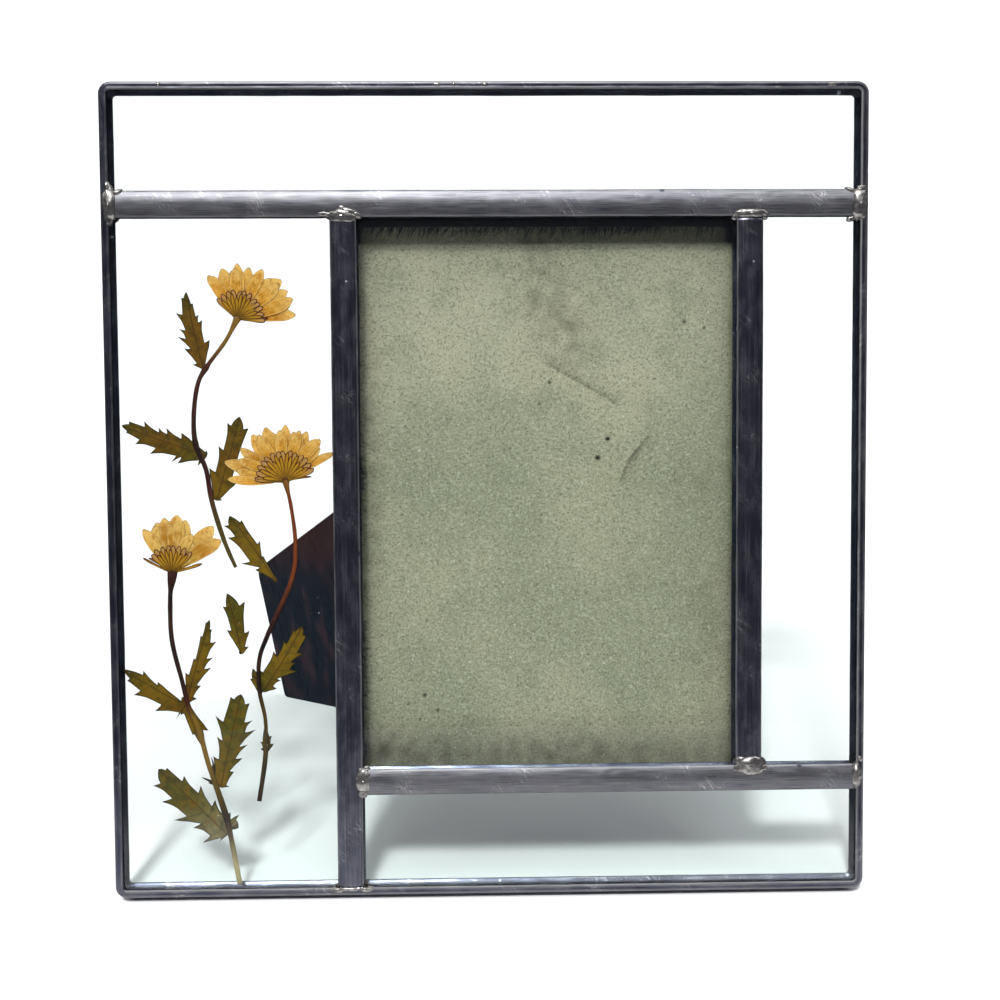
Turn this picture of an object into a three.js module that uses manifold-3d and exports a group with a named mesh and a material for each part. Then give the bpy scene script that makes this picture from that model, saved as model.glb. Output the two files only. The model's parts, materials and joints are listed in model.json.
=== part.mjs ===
// A pressed flower frame that stands on a desk. Cames, which are grooved metal strips, hold pairs of
// clear glass sheets round a 5 by 7 inch picture opening, and dried daisies lie between two of the
// sheets. A card back with a corner-to-corner easel leg closes the opening from behind.
//
// Millimetres. The frame is drawn upright, with x to the right, z up and y from the front face to the
// back, then leaned back onto its rear bottom edge and its leg.

import * as THREE from "three";
import { mergeVertices } from "three/addons/utils/BufferGeometryUtils.js";
import Module from "manifold-3d";

const wasm = await Module();
wasm.setup();

// Driving dimensions
const FRAME_WIDTH = 228.6;
const FRAME_HEIGHT = 244.7;
const LEAN = THREE.MathUtils.degToRad(13);
const GAP = 0.3;

const CAME_DEPTH = 9.5;
const CAME_WALL = 0.8;
const EDGE_SIGHT = 2.4; // how far the edge came's flange reaches in from the outside
const CORNER_RADIUS = 3.5;
const SIGHT_RADIUS = 1.5; // the edge came's inner corners
const EDGE_ROUNDING = 0.6; // where its walls meet
const BAR_WIDTH = 7.9; // an inner came, seen from the front
const BAR_HEART = 1.0;
const BAR_CROWN = 0.8; // how far its rounded face rises above its edges
const BAR_EDGE = 0.3; // how far those edges lie behind the frame's front face

const PICTURE_SIGHT = { width: 113.7, height: 166.1 };
const PICTURE_CENTRE = { x: 18, z: -0.45 };

const GLASS = 2.8;
const GLASS_NIP = 2;
const EDGE_BITE = 1.3; // glass held in the edge came
const BAR_BITE = 2.65; // glass held in an inner came
const PRESSED = 0.4; // thickness of a pressed leaf or petal
const NOTCH = { past: 0.7, depth: 0.72 }; // beyond a leaf's tooth, as a distance and a share of its reach
const PETAL_NOTCH = 0.86; // how far out two petals part, as a share of a petal's reach
const PETAL_SHOULDER = 0.97;
const NECK_HALF_WIDTH = 0.6; // where a flower head joins its stem

const BEAD_RISE = 0.9;

const BOARD = { width: 126.4, height: 177.2, thickness: 2 };
const VELVET = 0.6;
const STRIP_WALL = 0.7;
const STRIP_LIP = 4;
const CARD_NIP = 0.8;

const LEG_BOARD = 2;
const LEG_LENGTH = 218.9; // hinge pin to the corner of the foot
const FOOT_EDGE = 62.5;
const LEG_TOP_WIDTH = 41.6;
const LEG_HINGE = { x: 40.8, z: 34.1 };
const LEG_CLEARANCE = 0.4; // between the folded leg and the strips
const FOOT_NIP = 1.2;
const SHOULDER_CUT = 2.5; // the foot edge stops this far short of its corner, which is rounded
const HINGE_ANGLE = Math.PI / 4;

const HINGE_LENGTH = 36;
const HINGE_LEAF = 0.5;
const LEAF_REACH = 14;
const KNUCKLE_RADIUS = 1.7;
const KNUCKLES = 5;
const PIN_RADIUS = 0.8;
const PIN_LENGTH = HINGE_LENGTH + 1.2;

// What follows from them
const LEFT = -FRAME_WIDTH / 2;
const RIGHT = FRAME_WIDTH / 2;
const BOTTOM = -FRAME_HEIGHT / 2;
const TOP = FRAME_HEIGHT / 2;
const LEFT_STILE = PICTURE_CENTRE.x - (PICTURE_SIGHT.width + BAR_WIDTH) / 2;
const RIGHT_STILE = PICTURE_CENTRE.x + (PICTURE_SIGHT.width + BAR_WIDTH) / 2;
const BOTTOM_RAIL = PICTURE_CENTRE.z - (PICTURE_SIGHT.height + BAR_WIDTH) / 2;
const TOP_RAIL = PICTURE_CENTRE.z + (PICTURE_SIGHT.height + BAR_WIDTH) / 2;

// Depths behind the front face, from front to back
const FRONT_GLASS = CAME_WALL + GAP;
const BACK_GLASS = CAME_DEPTH - CAME_WALL - GAP - GLASS;
const FRONT_LAYER = FRONT_GLASS + GLASS + GAP;
const BACK_LAYER = FRONT_LAYER + PRESSED + GAP;
const BAR_BACK = CAME_DEPTH - BAR_EDGE + BAR_CROWN;
const BOARD_FRONT = BAR_BACK + GAP;
const VELVET_FRONT = BOARD_FRONT + BOARD.thickness + GAP;
const LIP_FRONT = VELVET_FRONT + VELVET + GAP;
const LIP_BACK = LIP_FRONT + STRIP_WALL;
const LEG_FRONT = LIP_BACK + LEG_CLEARANCE;
const PIN_DEPTH = LEG_FRONT + LEG_BOARD;

// The leg swings out until its foot edge is level. With the hinge at 45 degrees across a back that
// leans by LEAN, that is where the half angle's tangent is the root of two times the lean's tangent.
const LEG_OPEN = 2 * Math.atan(Math.SQRT2 * Math.tan(LEAN));

const LOOKS = {
  came: { color: 0x4a4850, roughness: 0.42, metalness: 0.9 },
  solder: { color: 0x8f8d8b, roughness: 0.35, metalness: 0.9 },
  glass: { color: 0xe6f1ef, roughness: 0.03, metalness: 0, transparent: true, opacity: 0.25 },
  petals: { color: 0xd8a64e, roughness: 0.7, metalness: 0 },
  leaf: { color: 0x6d5b16, roughness: 0.7, metalness: 0 },
  stem: { color: 0x43201a, roughness: 0.6, metalness: 0 },
  board: { color: 0xa1a487, roughness: 0.9, metalness: 0 },
  velvet: { color: 0x151416, roughness: 1, metalness: 0 },
  legBoard: { color: 0x2b1a1b, roughness: 0.3, metalness: 0 },
  hinge: { color: 0xa7a49c, roughness: 0.35, metalness: 1 },
};

function mesh(name, geometry, look) {
  const made = new THREE.Mesh(geometry, new THREE.MeshStandardMaterial(LOOKS[look]));
  made.name = name;
  return made;
}

// Joining and cutting

function toSolid(geometry) {
  const bare = geometry.clone();
  bare.deleteAttribute("normal");
  bare.deleteAttribute("uv");
  const merged = mergeVertices(bare, 1e-4);
  const vertProperties = new Float32Array(merged.attributes.position.array);
  const triVerts = new Uint32Array(merged.index.array);
  return new wasm.Manifold(new wasm.Mesh({ numProp: 3, vertProperties, triVerts }));
}

function toGeometry(solid) {
  const { vertProperties, triVerts } = solid.getMesh();
  const geometry = new THREE.BufferGeometry();
  geometry.setAttribute("position", new THREE.BufferAttribute(vertProperties, 3));
  geometry.setIndex(new THREE.BufferAttribute(triVerts, 1));
  geometry.computeVertexNormals();
  return geometry;
}

const join = (first, ...others) =>
  toGeometry(others.reduce((sum, next) => sum.add(toSolid(next)), toSolid(first)));
const cut = (first, ...tools) =>
  toGeometry(tools.reduce((rest, tool) => rest.subtract(toSolid(tool)), toSolid(first)));

// Flat shapes, drawn in x and z and given a front and a back

function plate(shape, front, back, rounding = 0) {
  const geometry = new THREE.ExtrudeGeometry(shape, {
    depth: back - front - 2 * rounding,
    bevelEnabled: rounding > 0,
    bevelThickness: rounding,
    bevelSize: rounding,
    bevelOffset: -rounding,
    bevelSegments: 2,
    curveSegments: 4,
  });
  return geometry.rotateX(Math.PI / 2).translate(0, back - rounding, 0);
}

const polygon = (points) => new THREE.Shape(points.map(([x, z]) => new THREE.Vector2(x, z)));

function roundedRectangle(left, bottom, right, top, radius) {
  const shape = new THREE.Shape();
  shape.absarc(right - radius, bottom + radius, radius, -Math.PI / 2, 0);
  shape.absarc(right - radius, top - radius, radius, 0, Math.PI / 2);
  shape.absarc(left + radius, top - radius, radius, Math.PI / 2, Math.PI);
  shape.absarc(left + radius, bottom + radius, radius, Math.PI, 1.5 * Math.PI);
  return shape;
}

function nippedRectangle(left, bottom, right, top, nip) {
  return polygon([
    [left + nip, bottom],
    [right - nip, bottom],
    [right, bottom + nip],
    [right, top - nip],
    [right - nip, top],
    [left + nip, top],
    [left, top - nip],
    [left, bottom + nip],
  ]);
}

// Metalwork

// The edge came is one U-shaped strip bent round all four sides, its groove facing in.
function edgeCame() {
  const inset = (step, radius) =>
    roundedRectangle(LEFT + step, BOTTOM + step, RIGHT - step, TOP - step, radius);
  const solid = plate(inset(0, CORNER_RADIUS), 0, CAME_DEPTH, EDGE_ROUNDING);
  const opening = plate(inset(EDGE_SIGHT, SIGHT_RADIUS), -1, CAME_DEPTH + 1);
  const groove = plate(inset(CAME_WALL, CORNER_RADIUS - CAME_WALL), CAME_WALL, CAME_DEPTH - CAME_WALL);
  return mesh("perimeter_came", cut(solid, opening, groove), "came");
}

// An H-shaped came's section, with rounded faces: across, then behind the front face.
function barSection() {
  const half = BAR_WIDTH / 2;
  const steps = 6;
  const crown = Array.from({ length: steps + 1 }, (_, i) => {
    const across = -half + (i * BAR_WIDTH) / steps;
    return [across, BAR_CROWN * (1 - (across / half) ** 2)];
  });
  const front = crown.map(([across, rise]) => [across, BAR_EDGE - rise]);
  const back = crown.map(([across, rise]) => [-across, CAME_DEPTH - BAR_EDGE + rise]);
  const groove = (side) => [
    [side * half, CAME_WALL],
    [(side * BAR_HEART) / 2, CAME_WALL],
    [(side * BAR_HEART) / 2, CAME_DEPTH - CAME_WALL],
    [side * half, CAME_DEPTH - CAME_WALL],
  ];
  return polygon([...front, ...groove(1), ...back, ...groove(-1).reverse()]);
}

function bar(name, length) {
  const geometry = new THREE.ExtrudeGeometry(barSection(), { depth: length, bevelEnabled: false });
  return mesh(name, geometry, "came");
}

function stile(name, x, from, to) {
  const made = bar(name, to - from);
  made.position.set(x, 0, from);
  return made;
}

function rail(name, z, from, to) {
  const made = bar(name, to - from);
  made.position.set(from, 0, z);
  made.rotation.y = Math.PI / 2;
  return made;
}

function innerCames() {
  const reach = BAR_WIDTH / 2 + GAP;
  const edge = EDGE_SIGHT + GAP;
  return [
    rail("top_rail_came", TOP_RAIL, LEFT + edge, RIGHT - edge),
    rail("bottom_rail_came", BOTTOM_RAIL, LEFT_STILE + reach, RIGHT - edge),
    stile("left_stile_came", LEFT_STILE, BOTTOM + edge, TOP_RAIL - reach),
    stile("right_stile_came", RIGHT_STILE, BOTTOM_RAIL + reach, TOP_RAIL - reach),
  ];
}

// A bead of solder: a low dome on the crown of a came, in front or behind.
function solderBead(name, x, z, width, height, behind) {
  const steps = 3;
  const dome = Array.from({ length: steps + 1 }, (_, i) => {
    const angle = (i / steps) * (Math.PI / 2);
    return new THREE.Vector2(Math.cos(angle), Math.sin(angle) * BEAD_RISE);
  });
  dome[steps].x = 0;
  const geometry = new THREE.LatheGeometry([new THREE.Vector2(0, 0), ...dome], 12);
  geometry.scale(width / 2, 1, height / 2);
  if (!behind) geometry.rotateX(Math.PI);
  const made = mesh(name, geometry, "solder");
  made.position.set(x, behind ? BAR_BACK + GAP : BAR_EDGE - BAR_CROWN - GAP, z);
  return made;
}

// Every joint is soldered in front. Behind, the joints under the card back are filed flush, so only
// the ones at the edge came keep a bead. A row holds the bead's place, width and height.
function solderJoints() {
  const half = BAR_WIDTH / 2;
  const atEdge = {
    top_rail_left: [LEFT + EDGE_SIGHT + 0.6, TOP_RAIL, 4.4, 9],
    top_rail_right: [RIGHT - EDGE_SIGHT - 0.6, TOP_RAIL, 4.4, 9],
    bottom_rail_right: [RIGHT - EDGE_SIGHT - 0.6, BOTTOM_RAIL, 4.4, 8],
    left_stile_bottom: [LEFT_STILE, BOTTOM + EDGE_SIGHT + 0.8, 9.5, 3.4],
  };
  const inside = {
    left_stile_top: [LEFT_STILE, TOP_RAIL - half, 10, 4],
    right_stile_top: [RIGHT_STILE, TOP_RAIL - half, 9, 3],
    bottom_rail_left: [LEFT_STILE + half, BOTTOM_RAIL, 4.6, 9],
    right_stile_bottom: [RIGHT_STILE, BOTTOM_RAIL + half, 9.5, 6],
  };
  const beads = (joints, suffix, behind) =>
    Object.entries(joints).map(([joint, place]) => solderBead(`solder_${joint}${suffix}`, ...place, behind));
  return [...beads({ ...atEdge, ...inside }, "", false), ...beads(atEdge, "_rear", true)];
}

// Glass: every opening takes two sheets, one against each flange of its cames.
function panes() {
  const leftEdge = LEFT + EDGE_SIGHT - EDGE_BITE;
  const rightEdge = RIGHT - EDGE_SIGHT + EDGE_BITE;
  const bottomEdge = BOTTOM + EDGE_SIGHT - EDGE_BITE;
  const topEdge = TOP - EDGE_SIGHT + EDGE_BITE;
  const step = BAR_WIDTH / 2 - BAR_BITE;
  const openings = {
    flower_glass: [leftEdge, bottomEdge, LEFT_STILE - step, TOP_RAIL - step],
    picture_glass: [LEFT_STILE + step, BOTTOM_RAIL + step, RIGHT_STILE - step, TOP_RAIL - step],
    top_glass: [leftEdge, TOP_RAIL + step, rightEdge, topEdge],
    right_glass: [RIGHT_STILE + step, BOTTOM_RAIL + step, rightEdge, TOP_RAIL - step],
    bottom_glass: [LEFT_STILE + step, bottomEdge, rightEdge, BOTTOM_RAIL - step],
  };
  return Object.entries(openings).flatMap(([name, sides]) => {
    const shape = nippedRectangle(...sides, GLASS_NIP);
    return [
      mesh(`${name}_front`, plate(shape, FRONT_GLASS, FRONT_GLASS + GLASS), "glass"),
      mesh(`${name}_back`, plate(shape, BACK_GLASS, BACK_GLASS + GLASS), "glass"),
    ];
  });
}

// Pressed flowers

const pressed = (outline, layer) => plate(polygon(outline), layer, layer + PRESSED);

// A toothed blade from base to tip. Each tooth is [distance along the midrib, reach to the side],
// and the outline drops back into a notch just past each tooth.
function blade(base, tip, leftTeeth, rightTeeth) {
  const along = new THREE.Vector2(tip[0] - base[0], tip[1] - base[1]).normalize();
  const place = (forward, sideways) => [
    base[0] + along.x * forward - along.y * sideways,
    base[1] + along.y * forward + along.x * sideways,
  ];
  const side = (teeth, sign) =>
    teeth.flatMap(([forward, reach]) => [
      place(forward, sign * reach),
      place(forward + NOTCH.past, sign * reach * NOTCH.depth),
    ]);
  return [base, ...side(rightTeeth, -1), tip, ...side(leftTeeth, 1).reverse()];
}

function leaves() {
  const rows = {
    leaf_a_upper: [
      [-87, 38.3], [-90.4, 61],
      [[1.5, 1.7], [6.5, 3.1], [10.6, 4.4], [17.7, 3.8], [20.5, 2.2]],
      [[2.3, 2.3], [8.1, 4.8], [14, 4], [16.5, 3], [19.8, 1.4]],
    ],
    leaf_a_left: [
      [-85, 12], [-110.4, 21.2],
      [[1.7, 3.9], [7.6, 5.2], [9.6, 5.6], [16.4, 5.2], [21.5, 3.9], [25.2, 1.6]],
      [[0.6, 1.6], [9.5, 4.1], [14.2, 4], [16.5, 3.4], [21.1, 3.6], [25.4, 2]],
    ],
    leaf_a_right: [
      [-81.2, -1.8], [-74.9, 23.7],
      [[1.6, 2.4], [9, 5.3], [16.3, 4.2], [23.2, 3.2]],
      [[1.4, 1.8], [7.4, 5], [23.4, 3.2]],
    ],
    leaf_b: [
      [-69.8, -60], [-57.2, -39.8],
      [[2.9, 5.5], [5.5, 5.7], [12.3, 3.7], [18.5, 2.6], [21.9, 1.4]],
      [[2.9, 3.5], [5.9, 3.2], [11.2, 6.4], [14.3, 4.4], [17.4, 4.4], [22.3, 2.4]],
    ],
    bract_b: [[-69.2, -78.2], [-69.5, -71.8], [[0.6, 1.1], [2.8, 0.9]], [[0.6, 1.4], [2, 2.4], [4.6, 1.4]]],
    leaf_c_upper: [
      [-92.7, -62], [-85.2, -38],
      [[1.7, 1.2], [7.5, 1.8], [13.2, 1.6], [18.1, 1.3], [22.5, 0.9]],
      [[2.1, 2.4], [6.1, 3.4], [12.5, 5], [15.4, 4.6], [20.2, 4], [22.4, 1.6]],
    ],
    leaf_c_left: [
      [-92.3, -64.6], [-110.6, -52.6],
      [[1, 4.2], [4, 5.6], [7.8, 6.6], [15.9, 5.6], [20.6, 2.2]],
      [[2.4, 0.6], [11.4, 1.6], [17.2, 2.4]],
    ],
    leaf_c_right: [
      [-82.2, -90.1], [-76, -60.8],
      [[0.6, 3.6], [6.9, 3.5], [12.5, 3.6], [21.7, 6], [27.4, 2.9]],
      [[1.3, 2.7], [7.4, 4], [11.2, 4.5], [15.1, 5.2], [20.2, 6.7], [22.7, 5.3], [27.4, 3.2]],
    ],
    leaf_c_lower: [
      [-80.5, -103.6], [-100.3, -82.8],
      [[1, 6.2], [3, 8.4], [8.4, 7.6], [14.6, 9.4], [16.9, 7.7], [21.2, 8.4], [25.6, 6.2]],
      [[1.4, 5], [3.4, 4.4], [10.5, 2.9], [15.8, 4], [21.6, 2.3], [24.1, 1.4]],
    ],
    loose_leaf_upper: [
      [-65.3, -26.5], [-78.8, -6.2],
      [[0.6, 0.8], [6, 3], [10.3, 5.2], [19, 4.2], [22, 2.8]],
      [[0.6, 1.4], [5.9, 0.9], [13, 3.2], [20.6, 2.3]],
    ],
    loose_leaf_lower: [
      [-75.8, -48.6], [-79.8, -29.8],
      [[0.8, 0.9], [8.3, 3.6], [14.8, 4.6]],
      [[0.8, 1.2], [2.4, 2.4], [6.5, 3.4], [14.8, 3.2]],
    ],
  };
  const lobe = blade([-92.6, -63.8], [-87.4, -77], [[1.6, 1.2], [7.1, 2], [10.9, 2]], [[3.9, 2], [9, 1.4]]);
  return Object.entries(rows).map(([name, row]) => {
    const leaf = pressed(blade(...row), BACK_LAYER);
    return mesh(name, name === "leaf_c_left" ? join(leaf, pressed(lobe, BACK_LAYER)) : leaf, "leaf");
  });
}

// A pressed stem: a flat band along a smooth curve, from its flower down to its cut end.
function stem(name, points, topWidth, endWidth) {
  const curve = new THREE.SplineCurve(points.map(([x, z]) => new THREE.Vector2(x, z)));
  const steps = 22;
  const edge = (side) =>
    Array.from({ length: steps + 1 }, (_, i) => {
      const t = i / steps;
      const along = curve.getTangent(t);
      const half = (side * THREE.MathUtils.lerp(topWidth, endWidth, t)) / 2;
      const at = curve.getPoint(t);
      return [at.x - along.y * half, at.y + along.x * half];
    });
  return mesh(name, pressed([...edge(1), ...edge(-1).reverse()], FRONT_LAYER), "stem");
}

function stems() {
  return [
    stem("stem_a", [
      [-75.6, 51.9], [-78.8, 46.2], [-84.6, 38.5], [-87.3, 33.2], [-88.6, 24], [-88.2, 15.5],
      [-85.2, 7.7], [-83.6, -2], [-80.2, -13.6], [-76.8, -21.9],
    ], 1.2, 1.3),
    stem("stem_b", [
      [-61.2, 2.7], [-59.7, -4.6], [-58.7, -15.3], [-60.1, -26], [-67.6, -42.8], [-70.2, -50.4],
      [-70.3, -59.7], [-68.6, -69], [-68.8, -80], [-70.9, -93.8],
    ], 1.1, 1.4),
    stem("stem_c", [
      [-96.1, -24.8], [-96.8, -31.8], [-96.5, -44], [-93.7, -56.4], [-91.9, -64], [-88.8, -71.8],
      [-86, -82.7], [-82.5, -93.6], [-80.2, -102.4], [-77.2, -119.6],
    ], 1.3, 1.5),
  ];
}

// A flower head pressed side on: a fan of petals above a narrow neck. Angles are in degrees
// clockwise from straight up.
function flowerHead(name, base, reach, fromAngle, toAngle, petals) {
  const at = (degrees, radius) => {
    const angle = THREE.MathUtils.degToRad(degrees);
    return [base[0] + Math.sin(angle) * radius, base[1] + Math.cos(angle) * radius];
  };
  const step = (toAngle - fromAngle) / petals;
  const tips = Array.from({ length: petals }, (_, i) => {
    const middle = fromAngle + (i + 0.5) * step;
    return [
      at(middle - step / 2, reach * PETAL_NOTCH),
      at(middle - step / 4, reach * PETAL_SHOULDER),
      at(middle, reach),
      at(middle + step / 4, reach * PETAL_SHOULDER),
    ];
  }).flat();
  const middle = (fromAngle + toAngle) / 2;
  const neck = [at(middle + 90, NECK_HALF_WIDTH), at(middle - 90, NECK_HALF_WIDTH)];
  const outline = [neck[1], ...tips, at(toAngle, reach * PETAL_NOTCH), neck[0]];
  return mesh(name, pressed(outline.reverse(), FRONT_LAYER), "petals");
}

function flowerHeads() {
  return [
    flowerHead("flower_head_a", [-75.1, 53.2], 16.2, -38, 86, 9),
    flowerHead("flower_head_b", [-61.4, 4.2], 17, -88, 58, 10),
    flowerHead("flower_head_c", [-96.1, -23.4], 16.4, -36, 54, 7),
  ];
}

// Behind the picture opening

// L-shaped strips stand on the backs of the cames, and the card back slides down between them.
function backStrips() {
  const left = PICTURE_CENTRE.x - BOARD.width / 2 - GAP;
  const right = PICTURE_CENTRE.x + BOARD.width / 2 + GAP;
  const bottom = PICTURE_CENTRE.z - BOARD.height / 2 - GAP;
  const section = (side) =>
    polygon([
      [0, BOARD_FRONT],
      [side * STRIP_WALL, BOARD_FRONT],
      [side * STRIP_WALL, LIP_BACK],
      [-side * STRIP_LIP, LIP_BACK],
      [-side * STRIP_LIP, LIP_FRONT],
      [0, LIP_FRONT],
    ]);
  const strip = (name, side, length, x, z, turned) => {
    const geometry = new THREE.ExtrudeGeometry(section(side), { depth: length, bevelEnabled: false });
    const made = mesh(name, geometry, "came");
    made.position.set(x, 0, z);
    made.rotation.y = turned ? Math.PI / 2 : 0;
    return made;
  };
  const inset = STRIP_LIP + GAP;
  return [
    strip("back_strip_left", -1, BOARD.height, left, bottom, false),
    strip("back_strip_right", 1, BOARD.height, right, bottom, false),
    strip("back_strip_bottom", 1, right - left - 2 * inset, left + inset, bottom, true),
  ];
}

function cardBack() {
  const shape = nippedRectangle(
    PICTURE_CENTRE.x - BOARD.width / 2,
    PICTURE_CENTRE.z - BOARD.height / 2,
    PICTURE_CENTRE.x + BOARD.width / 2,
    PICTURE_CENTRE.z + BOARD.height / 2,
    CARD_NIP,
  );
  return [
    mesh("card_back", plate(shape, BOARD_FRONT, BOARD_FRONT + BOARD.thickness), "board"),
    mesh("card_back_velvet", plate(shape, VELVET_FRONT, VELVET_FRONT + VELVET), "velvet"),
  ];
}

// The leg and its hinge, drawn with the pin along x through the origin and the foot straight down

// The leg widens from its top to two shoulders, then two foot edges run at right angles to its corner.
function legOutline() {
  const shoulder = FOOT_EDGE / Math.SQRT2;
  const shoulderHeight = shoulder - LEG_LENGTH;
  const rightSide = [
    [FOOT_NIP, FOOT_NIP - LEG_LENGTH],
    [shoulder - SHOULDER_CUT, shoulderHeight - SHOULDER_CUT],
    [shoulder, shoulderHeight + 1],
    [shoulder - 0.6, shoulderHeight + 5],
    [LEG_TOP_WIDTH / 2, -KNUCKLE_RADIUS - LEG_CLEARANCE],
  ];
  const leftSide = rightSide.map(([x, z]) => [-x, z]).reverse();
  return polygon([...rightSide, ...leftSide]);
}

function ring(outer, inner, from, to) {
  const profile = [
    [inner, from],
    [outer, from],
    [outer, to],
    [inner, to],
    [inner, from],
  ].map(([radius, height]) => new THREE.Vector2(radius, height));
  return new THREE.LatheGeometry(profile, 16).rotateZ(-Math.PI / 2);
}

// The knuckles of one hinge leaf: every second one along the pin.
function knuckles(first) {
  const width = (HINGE_LENGTH - (KNUCKLES - 1) * GAP) / KNUCKLES;
  const spans = [];
  for (let i = first; i < KNUCKLES; i += 2) {
    const from = -HINGE_LENGTH / 2 + i * (width + GAP);
    spans.push([from, from + width]);
  }
  return spans;
}

function block(left, right, front, back, bottom, top) {
  const geometry = new THREE.BoxGeometry(right - left, back - front, top - bottom);
  return geometry.translate((left + right) / 2, (front + back) / 2, (bottom + top) / 2);
}

// This leaf lies on the card, and short walls carry its knuckles out to the pin.
function boardLeaf() {
  const front = VELVET_FRONT + VELVET + GAP - PIN_DEPTH;
  const back = front + HINGE_LEAF;
  const half = HINGE_LENGTH / 2;
  const wall = { bottom: -0.4, top: 1.1, back: -PIN_RADIUS - GAP - 0.1 };
  const parts = knuckles(0).flatMap(([from, to]) => [
    ring(KNUCKLE_RADIUS, PIN_RADIUS + GAP, from, to),
    block(from, to, front, wall.back, wall.bottom, wall.top),
  ]);
  const leaf = block(-half, half, front, back, wall.bottom, LEAF_REACH);
  return mesh("hinge_leaf_board", join(leaf, ...parts), "hinge");
}

// This leaf lies on the leg's back, level with the outside of its knuckles.
function legLeaf() {
  const back = KNUCKLE_RADIUS;
  const front = back - HINGE_LEAF;
  const half = HINGE_LENGTH / 2;
  const leafTop = -2.4;
  const tongue = leafTop - HINGE_LEAF;
  const parts = knuckles(1).flatMap(([from, to]) => [
    ring(KNUCKLE_RADIUS, PIN_RADIUS + GAP, from, to),
    block(from, to, front, back, tongue, 0),
  ]);
  const leaf = block(-half, half, front, back, -LEAF_REACH, leafTop);
  return mesh("hinge_leaf_leg", join(leaf, ...parts), "hinge");
}

function hingePin() {
  const geometry = new THREE.CylinderGeometry(PIN_RADIUS, PIN_RADIUS, PIN_LENGTH, 12);
  return mesh("hinge_pin", geometry.rotateZ(Math.PI / 2), "hinge");
}

function easelLeg() {
  const outline = legOutline();
  const front = LEG_FRONT - PIN_DEPTH;
  const velvet = front + LEG_BOARD + GAP;
  const leg = new THREE.Group();
  leg.add(mesh("leg_board", plate(outline, front, front + LEG_BOARD), "legBoard"));
  leg.add(mesh("leg_velvet", plate(outline, velvet, velvet + VELVET), "velvet"));
  leg.add(legLeaf());
  leg.rotation.x = LEG_OPEN;
  return leg;
}

// Assembly

function assemble() {
  const frame = new THREE.Group();
  frame.add(edgeCame(), ...innerCames(), ...solderJoints(), ...panes());
  frame.add(...stems(), ...flowerHeads(), ...leaves());
  frame.add(...backStrips(), ...cardBack());
  frame.rotation.x = -LEAN;

  const hinge = new THREE.Group();
  const leg = easelLeg();
  hinge.add(boardLeaf(), hingePin(), leg);
  hinge.position.set(LEG_HINGE.x, PIN_DEPTH, LEG_HINGE.z);
  hinge.rotation.y = HINGE_ANGLE;
  frame.add(hinge);

  // The hinge is moved along the back until the foot stands level with the frame's lowest edge.
  const lowest = (object) => new THREE.Box3().setFromObject(object, true).min.z;
  frame.updateMatrixWorld(true);
  const rise = lowest(leg) - lowest(frame.getObjectByName("perimeter_came"));
  hinge.position.z -= rise / Math.cos(LEAN);

  const part = new THREE.Group();
  part.add(frame);
  part.updateMatrixWorld(true);
  const box = new THREE.Box3().setFromObject(part, true);
  const centre = box.getCenter(new THREE.Vector3());
  frame.position.set(-centre.x, -centre.y, -box.min.z);
  return part;
}

export default assemble();
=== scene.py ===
# %% [markdown]
# # A pressed flower frame
#
# The real thing is small leaded-glass work: grooved metal strips, called cames, soldered round clear
# glass. Three dried daisies lie between two sheets, and a card back with an easel leg closes the
# picture opening. A bare CAD model already gives every part its size and place, and this lesson gives
# each part the shape and finish that a camera sees. The first step loads that model.

import json
import math
import random

import bmesh
import bpy
import numpy as np
from mathutils import Matrix, Vector, noise


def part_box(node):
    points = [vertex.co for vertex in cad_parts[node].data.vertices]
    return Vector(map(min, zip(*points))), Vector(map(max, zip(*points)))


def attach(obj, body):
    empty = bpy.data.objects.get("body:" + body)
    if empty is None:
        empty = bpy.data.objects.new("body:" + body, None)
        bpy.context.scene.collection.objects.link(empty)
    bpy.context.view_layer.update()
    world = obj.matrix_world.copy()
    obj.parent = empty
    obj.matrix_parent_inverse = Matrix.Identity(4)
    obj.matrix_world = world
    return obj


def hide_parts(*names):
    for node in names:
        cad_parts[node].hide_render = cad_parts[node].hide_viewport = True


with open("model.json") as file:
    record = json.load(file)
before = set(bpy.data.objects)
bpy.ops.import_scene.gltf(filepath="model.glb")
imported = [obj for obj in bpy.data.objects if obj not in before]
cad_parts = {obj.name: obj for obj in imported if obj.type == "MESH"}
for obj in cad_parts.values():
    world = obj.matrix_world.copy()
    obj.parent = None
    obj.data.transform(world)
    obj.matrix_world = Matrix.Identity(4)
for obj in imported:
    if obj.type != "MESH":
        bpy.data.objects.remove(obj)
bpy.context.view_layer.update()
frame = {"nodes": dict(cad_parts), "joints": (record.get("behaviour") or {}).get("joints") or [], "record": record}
scene = bpy.context.scene

# %% [markdown]
# The frame leans back on its leg, which makes depths and heights awkward to write down. It could be
# modelled leaning, but it is easier to draw it upright in millimetres, as on a bench, and let one
# matrix lean it. x runs to the right, y from the front face to the back and z up, and the origin is
# the middle of the front face.

# %% Bench sizes, and the matrix that leans them
MM = 0.001
WIDTH, HEIGHT = 228.6, 244.7
CAME_DEPTH, CAME_WALL, EDGE_SIGHT = 9.5, 0.8, 2.4
BAR_HALF, BAR_CROWN, BAR_EDGE = 3.95, 0.8, 0.3
LEFT_STILE, RIGHT_STILE = -42.8, 78.8
BOTTOM_RAIL, TOP_RAIL = -87.45, 86.55

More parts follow.
